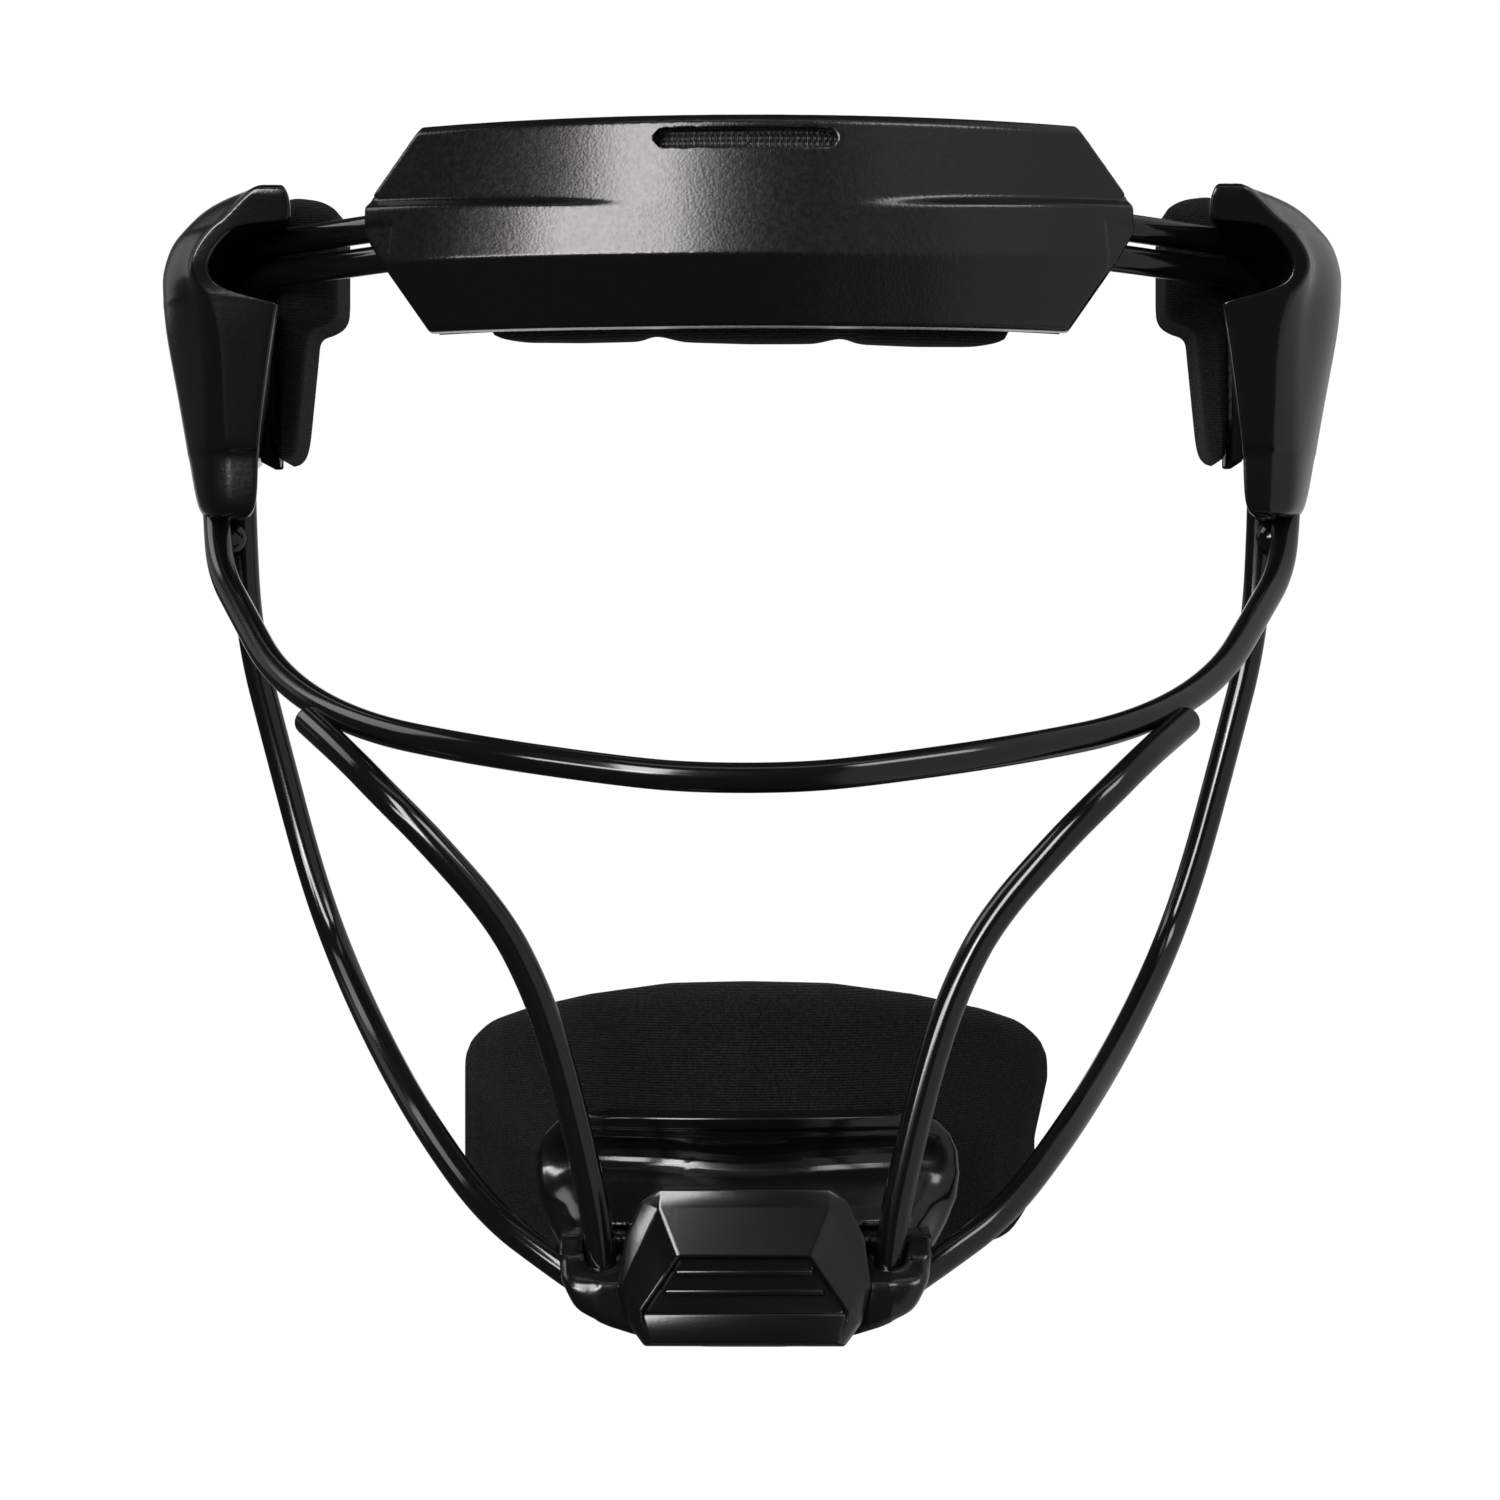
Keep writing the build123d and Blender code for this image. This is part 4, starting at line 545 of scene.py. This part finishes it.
# Sections from the foot up: height at the inner and the outer side, rear end, inner and
# outer edge of the front panel, its Y, the ridge's X and Y, the bulge, and 1 at the hollow
temple_sections = (
    (39.9, 39.9, -36.0, 88.0, 89.4, -57.4, 90.6, -56.0, 92.6, 0),
    (40.5, 40.5, -36.0, 86.2, 89.8, -60.6, 93.2, -58.6, 96.2, 0),
    (42.2, 42.2, -35.0, 84.9, 90.0, -61.4, 94.2, -59.2, 97.8, 0),
    (50.0, 50.0, -28.0, 84.7, 90.2, -61.8, 94.5, -59.4, 99.2, 0),
    (51.3, 51.3, -23.0, 84.7, 90.3, -61.9, 94.6, -59.5, 99.5, 0),
    (51.8, 51.8, -18.0, 84.5, 90.4, -63.0, 94.7, -59.6, 99.7, 0),
    (53.0, 53.0, -11.0, 84.4, 90.4, -63.3, 94.8, -59.6, 99.9, 0),
    (61.0, 61.0, -4.0, 83.4, 90.6, -64.6, 95.2, -59.8, 101.4, 0),
    (69.0, 69.0, -4.0, 82.2, 90.9, -65.9, 95.7, -60.0, 103.0, 0),
    (74.0, 74.0, -4.0, 81.3, 91.6, -66.7, 96.1, -60.2, 103.9, 0),
    (76.2, 77.6, -4.0, 80.8, 93.0, -67.1, 96.5, -60.4, 104.2, 0),
    (76.6, 78.2, -4.0, 80.7, 93.4, -67.2, 96.6, -60.6, 104.3, 0),
    (76.8, 78.7, -4.0, 87.0, 93.8, -67.2, 96.7, -60.8, 104.3, 1),
    (77.4, 79.7, -4.0, 91.2, 94.6, -67.3, 96.8, -61.0, 104.3, 1),
    (80.6, 81.4, -4.0, 92.2, 95.5, -67.6, 96.9, -61.6, 104.4, 1),
    (83.2, 83.4, -4.0, 92.5, 95.8, -68.0, 96.9, -62.0, 104.4, 1),
    (85.8, 85.8, -5.0, 91.4, 94.9, -68.3, 96.0, -62.4, 103.9, 1),
    (88.2, 88.2, -10.0, 89.2, 93.2, -68.6, 94.4, -62.8, 103.1, 1),
    (89.8, 89.8, -15.0, 87.0, 91.6, -68.8, 92.8, -63.0, 102.1, 1),
    (90.3, 90.3, -16.0, 79.0, 90.8, -68.9, 92.0, -63.0, 101.7, 0),
    (90.9, 90.9, -17.5, 78.2, 90.0, -69.0, 91.4, -63.0, 101.2, 0),
    (94.3, 94.3, -24.0, 78.4, 86.6, -69.6, 88.4, -63.6, 98.0, 0),
    (96.3, 96.3, -29.0, 79.2, 84.2, -70.0, 86.4, -64.0, 94.6, 0),
    (97.1, 97.1, -33.0, 80.6, 83.0, -67.0, 85.0, -60.6, 90.6, 0),
)
# Towards the foot the inner wall follows the front panel's edge and leans outwards to the
# rear. It leans most up to the knee, and above lean_top it stands upright
knee, narrow_top, lean_top, lean_fade = 50.5, 53.5, 55.5, 2.0
lean, foot_lean, lean_limit_x = 0.105, 0.15, 90.4
# Where a sloping section goes from its inner side's height to its outer side's
slope_x, slope_width = 81.0, 9.0


def temple_ring(section):
    """The corners of one level section, round from the rear of its inner side."""
    low, high, rear, front_in, front_out, front, ridge, ridge_y, bulge, hollow = section
    reach = (rear - bulge_y) / (temple_rear_y - bulge_y)
    slant = mix(lean, foot_lean, low < knee) * min(1, max(0, (lean_top - low) / lean_fade))
    wall = max(temple_wall_x, front_in) if low < narrow_top else temple_wall_x
    inner = [(wall, y) for y in (temple_rear_y, -8.0, -13.0, -24.0, -38.0)]
    if hollow:
        inner += [(mix(wall, front_in, 0.5), -42.0), (front_in, -47.0), (front_in, -57.0)]
    else:
        inner += [(wall, -47.0), (mix(wall, front_in, 0.85), -58.0),
                  (front_in + 0.05, front + 0.5)]
    face = [(front_in + 0.15, front + 0.05), (mix(front_in, front_out, 0.2), front),
            (max(mix(front_in, front_out, 0.8), front_out - 0.4), front),
            (front_out, front + 0.1), (mix(front_out, ridge, 0.6), mix(front, ridge_y, 0.45)),
            (ridge, ridge_y)]
    outer = [(mix(ridge, bulge, 0.6), -53.5), (bulge, bulge_y), (bulge - 0.8, -35.0),
             (mix(temple_tab_x, bulge, 0.45), -26.0), (temple_tab_x, -18.0)]
    outer += [(temple_tab_x, y) for y in (-13.0, -8.0, temple_rear_y)]
    ring = []
    for x, y in inner + face + outer:
        if y > bulge_y:
            y = bulge_y + (y - bulge_y) * reach
        if x < wall + 0.1:
            x = min(x + slant * (y - front), lean_limit_x)
        if y > temple_tab_front_y and x > temple_tab_x:
            x = temple_tab_x
        ring.append((x, y, mix(low, high, min(1, max(0, (x - slope_x) / slope_width)))))
    return ring


def loft(form, rings):
    """Joins rings of places in mm into one closed form, its faces pointing outwards."""
    loops = []
    for ring in rings:
        verts = [form.verts.new((x * mm, y * mm, z * mm)) for x, y, z in ring]
        loops.append([form.edges.new(pair) for pair in zip(verts, verts[1:] + verts[:1])])
    for one, other in zip(loops, loops[1:]):
        bmesh.ops.bridge_loops(form, edges=one + other)
    for end in (loops[0], loops[-1]):
        bmesh.ops.contextual_create(form, geom=end)
    form.normal_update()
    bmesh.ops.recalc_face_normals(form, faces=form.faces)


for side, sign in (("left", 1), ("right", -1)):
    form = bmesh.new()
    loft(form, [[(sign * x, y, z) for x, y, z in temple_ring(section)]
                for section in temple_sections])
    shell = new_object("temple_cover_" + side, mesh_of("temple_cover_" + side, form))
    round_off = shell.modifiers.new("round_off", "SUBSURF")
    round_off.levels = round_off.render_levels = 3
    strap_slot = slot_cutter("strap_way", 2.5, (0, 0, 20.0), 40.0, "X",
                             (sign * 87.75, -10.5, 59.5))
    cut_away(shell, strap_slot)
    settle(shell, [strap_slot])
    shell.data.materials.append(smooth)
    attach(shell, "guard")
    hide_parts("temple_shell_" + side)


# Pads: moulded open cell foam with a fine black knit bonded over it, held by hook tape. The
# solids are eased to soft closed forms, and the ends and lower edges are drawn out in code.
loops_per_mm, cloud_per_mm, rows_per_mm = 1.9, 2.4, 2.2282
knit_relief = 0.18
knit, tree, shader = finish_of("knit_over_foam", "#121214", 0.9)
# Warp knit polyester: loops in rows that catch light at their tops, and a faint grey bloom.
# Loops half a millimetre across are coarser than the real ones, so that they show
where = add_node(tree, "TexCoord")
loops = add_node(tree, "TexVoronoi", {"Vector": where.outputs["Object"],
                                      "Scale": loops_per_mm / mm})
cloudy = add_node(tree, "TexNoise", {"Vector": where.outputs["Object"],
                                     "Scale": cloud_per_mm / mm, "Detail": 2.0})
rows = add_node(tree, "TexWave", {"Vector": where.outputs["Object"],
                                  "Scale": rows_per_mm * wave_repeat / mm,
                                  "Distortion": 1.2, "Detail": 1.0}, bands_direction="Z")
height = add_node(tree, "Math", {0: loops.outputs["Distance"], 1: rows.outputs["Fac"]},
                  operation="ADD")
relief = add_node(tree, "Bump", {"Height": height.outputs[0], "Distance": knit_relief * mm,
                                 "Strength": 0.8})
tree.links.new(relief.outputs["Normal"], shader.inputs["Normal"])
tint = add_node(tree, "ValToRGB", {"Fac": cloudy.outputs["Fac"]})
for stop, position, colour in zip(tint.color_ramp.elements, (0.35, 0.72),
                                  ("#050506", "#161618")):
    stop.position = position
    stop.color = linear(colour)
tree.links.new(tint.outputs["Color"], shader.inputs["Base Color"])
shader.inputs["Specular IOR Level"].default_value = 0.15
shader.inputs["Sheen Weight"].default_value = 0.02
shader.inputs["Sheen Roughness"].default_value = 0.4

# The chin pad is drawn down below one height, and its left side is fuller above another. The
# brow pad's lower edge is raised. The temple pads taper to the foot, and are shorter there
chin_drawn_from, chin_drawn_by = -60, 1.34
chin_left_fuller, chin_fuller_from, chin_fuller_over = 0.045, -66, 10
brow_edge, brow_edge_over, brow_raised_right, brow_raised_left = 75, 5, 1.7, 0.9
temple_taper, temple_taper_from, temple_taper_over, temple_taper_x = 2.4, 74, 24, 83.5
temple_foot_z, temple_foot_drawn_in = 51.5, 0.55
temple_top_z, temple_top_raised = 86, 1.1
for name, node, body in (
    ("brow_cushion", "forehead_pad", "guard"),
    ("temple_cushion_left", "temple_pad_left", "guard"),
    ("temple_cushion_right", "temple_pad_right", "guard"),
    ("chin_cushion", "chin_pad", "chin_cup"),
):
    cushion = eased_copy(name, node, 0.7, 12)
    for vert in cushion.data.vertices:
        if node == "chin_pad":
            if vert.co.z < chin_drawn_from * mm:
                vert.co.z = (chin_drawn_from * mm
                             + (vert.co.z - chin_drawn_from * mm) * chin_drawn_by)
            above = min(1, max(0, vert.co.z / mm - chin_fuller_from) / chin_fuller_over)
            vert.co.x += chin_left_fuller * max(0, vert.co.x) * above
        elif node == "forehead_pad":
            raised = mix(brow_raised_right, brow_raised_left, eased((vert.co.x / mm + 40) / 50))
            vert.co.z += raised * mm * eased((brow_edge - vert.co.z / mm) / brow_edge_over)
        else:
            low = min(1, max(0, (temple_taper_from - vert.co.z / mm) / temple_taper_over))
            inward = eased((temple_taper_x - abs(vert.co.x) / mm) / 4)
            vert.co.x += math.copysign(temple_taper * mm * low, vert.co.x) * inward
            vert.co.z += (temple_foot_drawn_in * max(0, temple_foot_z - vert.co.z / mm)
                          + temple_top_raised * eased((vert.co.z / mm - temple_top_z) / 6)) * mm
    cushion.data.materials.append(knit)
    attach(cushion, body)
    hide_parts(node)


# Chin bracket and clamp: two nylon mouldings, screwed together round the ends of the front
# wires and the middle of the jaw wire. The bracket is the front half, with a notch over each
# front wire and well rounded lower corners.
nylon_per_mm, nylon_relief = 0.9, 0.05
satin, tree, shader = finish_of("satin_nylon", "#080809", 0.2)
# Moulded nylon: satin, with a slight unevenness that softens the edge of a highlight
where = add_node(tree, "TexCoord")
flow = add_node(tree, "TexNoise", {"Vector": where.outputs["Object"],
                                   "Scale": nylon_per_mm / mm, "Detail": 3.0})
relief = add_node(tree, "Bump", {"Height": flow.outputs["Fac"], "Distance": nylon_relief * mm,
                                 "Strength": 0.5})
tree.links.new(relief.outputs["Normal"], shader.inputs["Normal"])

notch_x = 22.3
corner_x, corner_top, corner_rounds = 23.0, -79.5, 70
notches = [slot_cutter("notch", 3.2, (0, 0, 9.0), 13.0, "Y", (x, -130.4, -78.4))
           for x in (notch_x, -notch_x)]
bracket = eased_copy("chin_housing", "chin_bracket", 0.4, 14, cutters=notches)
form = bmesh.new()
form.from_mesh(bracket.data)
corner = [vert for vert in form.verts
          if abs(vert.co.x) > corner_x * mm and vert.co.z < corner_top * mm]
for _ in range(corner_rounds):
    even_out(form, corner)
form.to_mesh(bracket.data)
form.free()
bracket.data.materials.append(satin)
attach(bracket, "guard")
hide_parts("chin_bracket")
nodes["chin_clamp"].material_slots[0].material = satin


# Latch: a glossy ABS thumb lever that rocks on a steel pin across the bracket. Its face
# rises from the rim to the grip, which is sunk, with two ridges for the thumb and a bar
# below them.
gloss_per_mm, gloss_relief = 1.5, 0.02
gloss_abs, tree, shader = finish_of("glossy_abs", "#080809", 0.19)
# Moulded ABS off a polished tool: a clear highlight, softened by handling
where = add_node(tree, "TexCoord")
flow = add_node(tree, "TexNoise", {"Vector": where.outputs["Object"],
                                   "Scale": gloss_per_mm / mm, "Detail": 2.0})
relief = add_node(tree, "Bump", {"Height": flow.outputs["Fac"], "Distance": gloss_relief * mm,
                                 "Strength": 0.4})
tree.links.new(relief.outputs["Normal"], shader.inputs["Normal"])

# The face in rings, from the back of its rim to the floor of the grip. Each ring is given
# as its half, from the top down, as X, Z and Y
latch_rings = (
    ((13.2, -68.4, -133.6), (16.0, -70.3, -133.6), (18.6, -76.0, -133.6),
     (19.8, -83.6, -133.6), (18.3, -89.2, -133.6), (15.6, -92.7, -133.6)),
    ((13.2, -68.4, -135.6), (16.0, -70.3, -135.4), (18.6, -76.0, -135.2),
     (19.8, -83.6, -135.2), (18.3, -89.2, -136.4), (15.6, -92.7, -137.4)),
    ((13.3, -71.3, -136.4), (13.6, -71.6, -136.3), (16.2, -77.5, -135.9),
     (18.9, -83.4, -135.9), (17.7, -88.8, -138.2), (15.3, -92.2, -139.2)),
    ((10.1, -78.4, -140.2), (10.4, -78.6, -140.2), (12.9, -82.3, -140.3),
     (16.2, -87.0, -140.3), (15.9, -88.6, -140.3), (14.7, -91.6, -140.2)),
    ((9.8, -79.0, -139.0), (10.1, -79.2, -139.0), (12.4, -82.8, -139.0),
     (15.5, -87.2, -139.0), (15.2, -88.6, -139.0), (14.1, -91.0, -139.0)),
)
# Half width, top, foot and front of the two ridges and of the bar
grip_bars = ((10.6, -80.6, -81.5, -139.9), (12.3, -83.6, -84.5, -139.9),
             (16.0, -87.2, -92.0, -140.1))
bar_depth, bar_lean, bar_narrowing = 2.4, 0.45, 0.93
sharp = math.radians(16)
form = bmesh.new()
loft(form, [[(x, y, z) for x, z, y in half] + [(-x, y, z) for x, z, y in reversed(half)]
            for half in latch_rings])
arrises = [edge for edge in form.edges
           if len(edge.link_faces) == 2 and edge.calc_face_angle() > sharp]
bmesh.ops.bevel(form, geom=arrises, offset=0.4 * mm, segments=3, affect="EDGES", profile=0.5,
                material=-1)
for width, top, foot, front in grip_bars:
    bar = bmesh.ops.create_cube(form, size=1.0)["verts"]
    bmesh.ops.scale(form, vec=(2 * width * mm, bar_depth * mm, (top - foot) * mm), verts=bar)
    bmesh.ops.translate(form, vec=(0, (front + bar_depth / 2) * mm, (top + foot) / 2 * mm),
                        verts=bar)
    for vert in bar:
        if vert.co.z < (foot + 0.1) * mm and top - foot > 2:
            vert.co.x *= bar_narrowing
            vert.co.y -= bar_lean * mm
    edges = list(dict.fromkeys(edge for vert in bar for edge in vert.link_edges))
    bmesh.ops.bevel(form, geom=edges, offset=min(0.6, (top - foot) / 3) * mm, segments=3,
                    affect="EDGES", profile=0.5, material=-1)
lever_face = new_object("lever_face", mesh_of("lever_face", form))


def join_on(piece, part):
    """Joins a part to a piece and shades the whole smooth."""
    with bpy.context.temp_override(active_object=piece,
                                   selected_editable_objects=[piece, part]):
        bpy.ops.object.join()
    for face in piece.data.polygons:
        face.use_smooth = True


lever_back_y = -135.2
lever = eased_copy("thumb_lever", "chin_latch", 0.35, 4,
                   cuts=[((0, lever_back_y, 0), (0, -1, 0))])
join_on(lever, lever_face)
lever.data.materials.append(gloss_abs)
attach(lever, "chin_latch")
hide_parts("chin_latch")


# Latch pin and spring: a ground steel pin that the lever rocks on, and a coil of spring wire
# that keeps it shut. Both sit between the lever and the bracket.
ground_per_mm, ground_relief = 2.5, 0.01
steel, tree, shader = finish_of("ground_steel", "#b9babd", 0.25)
# Ground steel: a bright metal with a fine grinding haze
shader.inputs["Metallic"].default_value = 1.0
where = add_node(tree, "TexCoord")
haze = add_node(tree, "TexNoise", {"Vector": where.outputs["Object"],
                                   "Scale": ground_per_mm / mm})
relief = add_node(tree, "Bump", {"Height": haze.outputs["Fac"], "Distance": ground_relief * mm,
                                 "Strength": 0.5})
tree.links.new(relief.outputs["Normal"], shader.inputs["Normal"])
for node in ("latch_pin", "latch_spring"):
    nodes[node].material_slots[0].material = steel


# Chin cup: a glossy ABS moulding that slides on the bracket and carries the chin pad. A
# stepped flange runs along its top, a rolled rim round both ends, and its hollow face
# flares out to the foot, which is raised in the middle to let the latch's toe pass.
cup_axis_y = -46.6
cup_back = 54.8
cup_top, cup_mid_foot, cup_foot = -58.9, -76.5, -80.6
cup_bend = 67.0
rim_radius, rim_round, rim_fade = 65.8, 1.2, 7.5
# Parts of the half width, from the middle: the raised foot, the catch's room and the lobe
raised_foot, raised_foot_fade = 0.6, 0.25
catch_room, catch_half, catch_fade = 2.0, 0.3, 0.05
lobe_top, lobe_fade, lobe_dip, lobe_half = -62.4, 1.5, 1.0, 0.30
# Height and radius of the face from the flange down, and height and half width
cup_profile = (
    (-58.9, 65.5), (-59.05, 66.4), (-59.3, 66.7), (-60.9, 66.3), (-61.2, 65.8), (-61.4, 65.1),
    (-62.5, 64.8), (-62.9, 64.2), (-63.5, 63.2), (-64.6, 62.4), (-65.9, 62.05), (-67.0, 62.2),
    (-68.0, 62.8), (-69.1, 63.9), (-71.0, 65.9), (-73.2, 68.3), (-75.5, 70.3), (-78.0, 71.6),
    (-81.0, 72.2))
cup_widths = (
    (-58.9, 27.0), (-59.3, 29.5), (-60.2, 32.2), (-62.5, 34.4), (-65.5, 35.7), (-69.0, 36.0),
    (-73.0, 35.2), (-77.0, 33.2), (-81.0, 30.6))
form = bmesh.new()
bmesh.ops.create_grid(form, x_segments=96, y_segments=72, size=1.0)
border = [edge for edge in form.edges if edge.is_boundary]
for vert in form.verts:
    across = vert.co.x
    foot = mix(cup_mid_foot, cup_foot, eased((abs(across) - raised_foot) / raised_foot_fade))
    foot += catch_room * eased((catch_half - abs(across)) / catch_fade)
    height = mix(foot, cup_top, (vert.co.y + 1) / 2)
    width = along_table(cup_widths, height)
    dip = lobe_dip * math.exp(-((across / lobe_half) ** 2))
    dip *= eased((lobe_top - height) / lobe_fade)
    radius = along_table(cup_profile, height + dip)
    edge = (1 - abs(across)) * width
    rim = rim_radius - rim_round * eased((rim_round - edge) / rim_round)
    rim += 0.10 * max(0, -68 - height)
    radius = mix(rim, radius, eased((edge - 0.8) / rim_fade))
    turn = math.asin(across * width / cup_bend)
    vert.co = (radius * math.sin(turn) * mm, (cup_axis_y - radius * math.cos(turn)) * mm,
               height * mm)
back = bmesh.ops.extrude_edge_only(form, edges=border)
for vert in [item for item in back["geom"] if isinstance(item, bmesh.types.BMVert)]:
    flat = Vector((vert.co.x, vert.co.y - cup_axis_y * mm))
    flat *= cup_back * mm / flat.length
    vert.co.x, vert.co.y = flat.x, flat.y + cup_axis_y * mm
bmesh.ops.recalc_face_normals(form, faces=form.faces)
cup_front = new_object("cup_front", mesh_of("cup_front", form))

shell_foot, shell_side_x = -75.6, 23
cup = eased_copy("chin_shell", "chin_cup", 0.4, 3,
                 cuts=[((0, 0, shell_foot), (0, 0, 1)), ((shell_side_x, 0, 0), (1, 0, 0)),
                       ((-shell_side_x, 0, 0), (-1, 0, 0))])
join_on(cup, cup_front)
cup.data.materials.append(gloss_abs)
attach(cup, "chin_cup")
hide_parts("chin_cup")
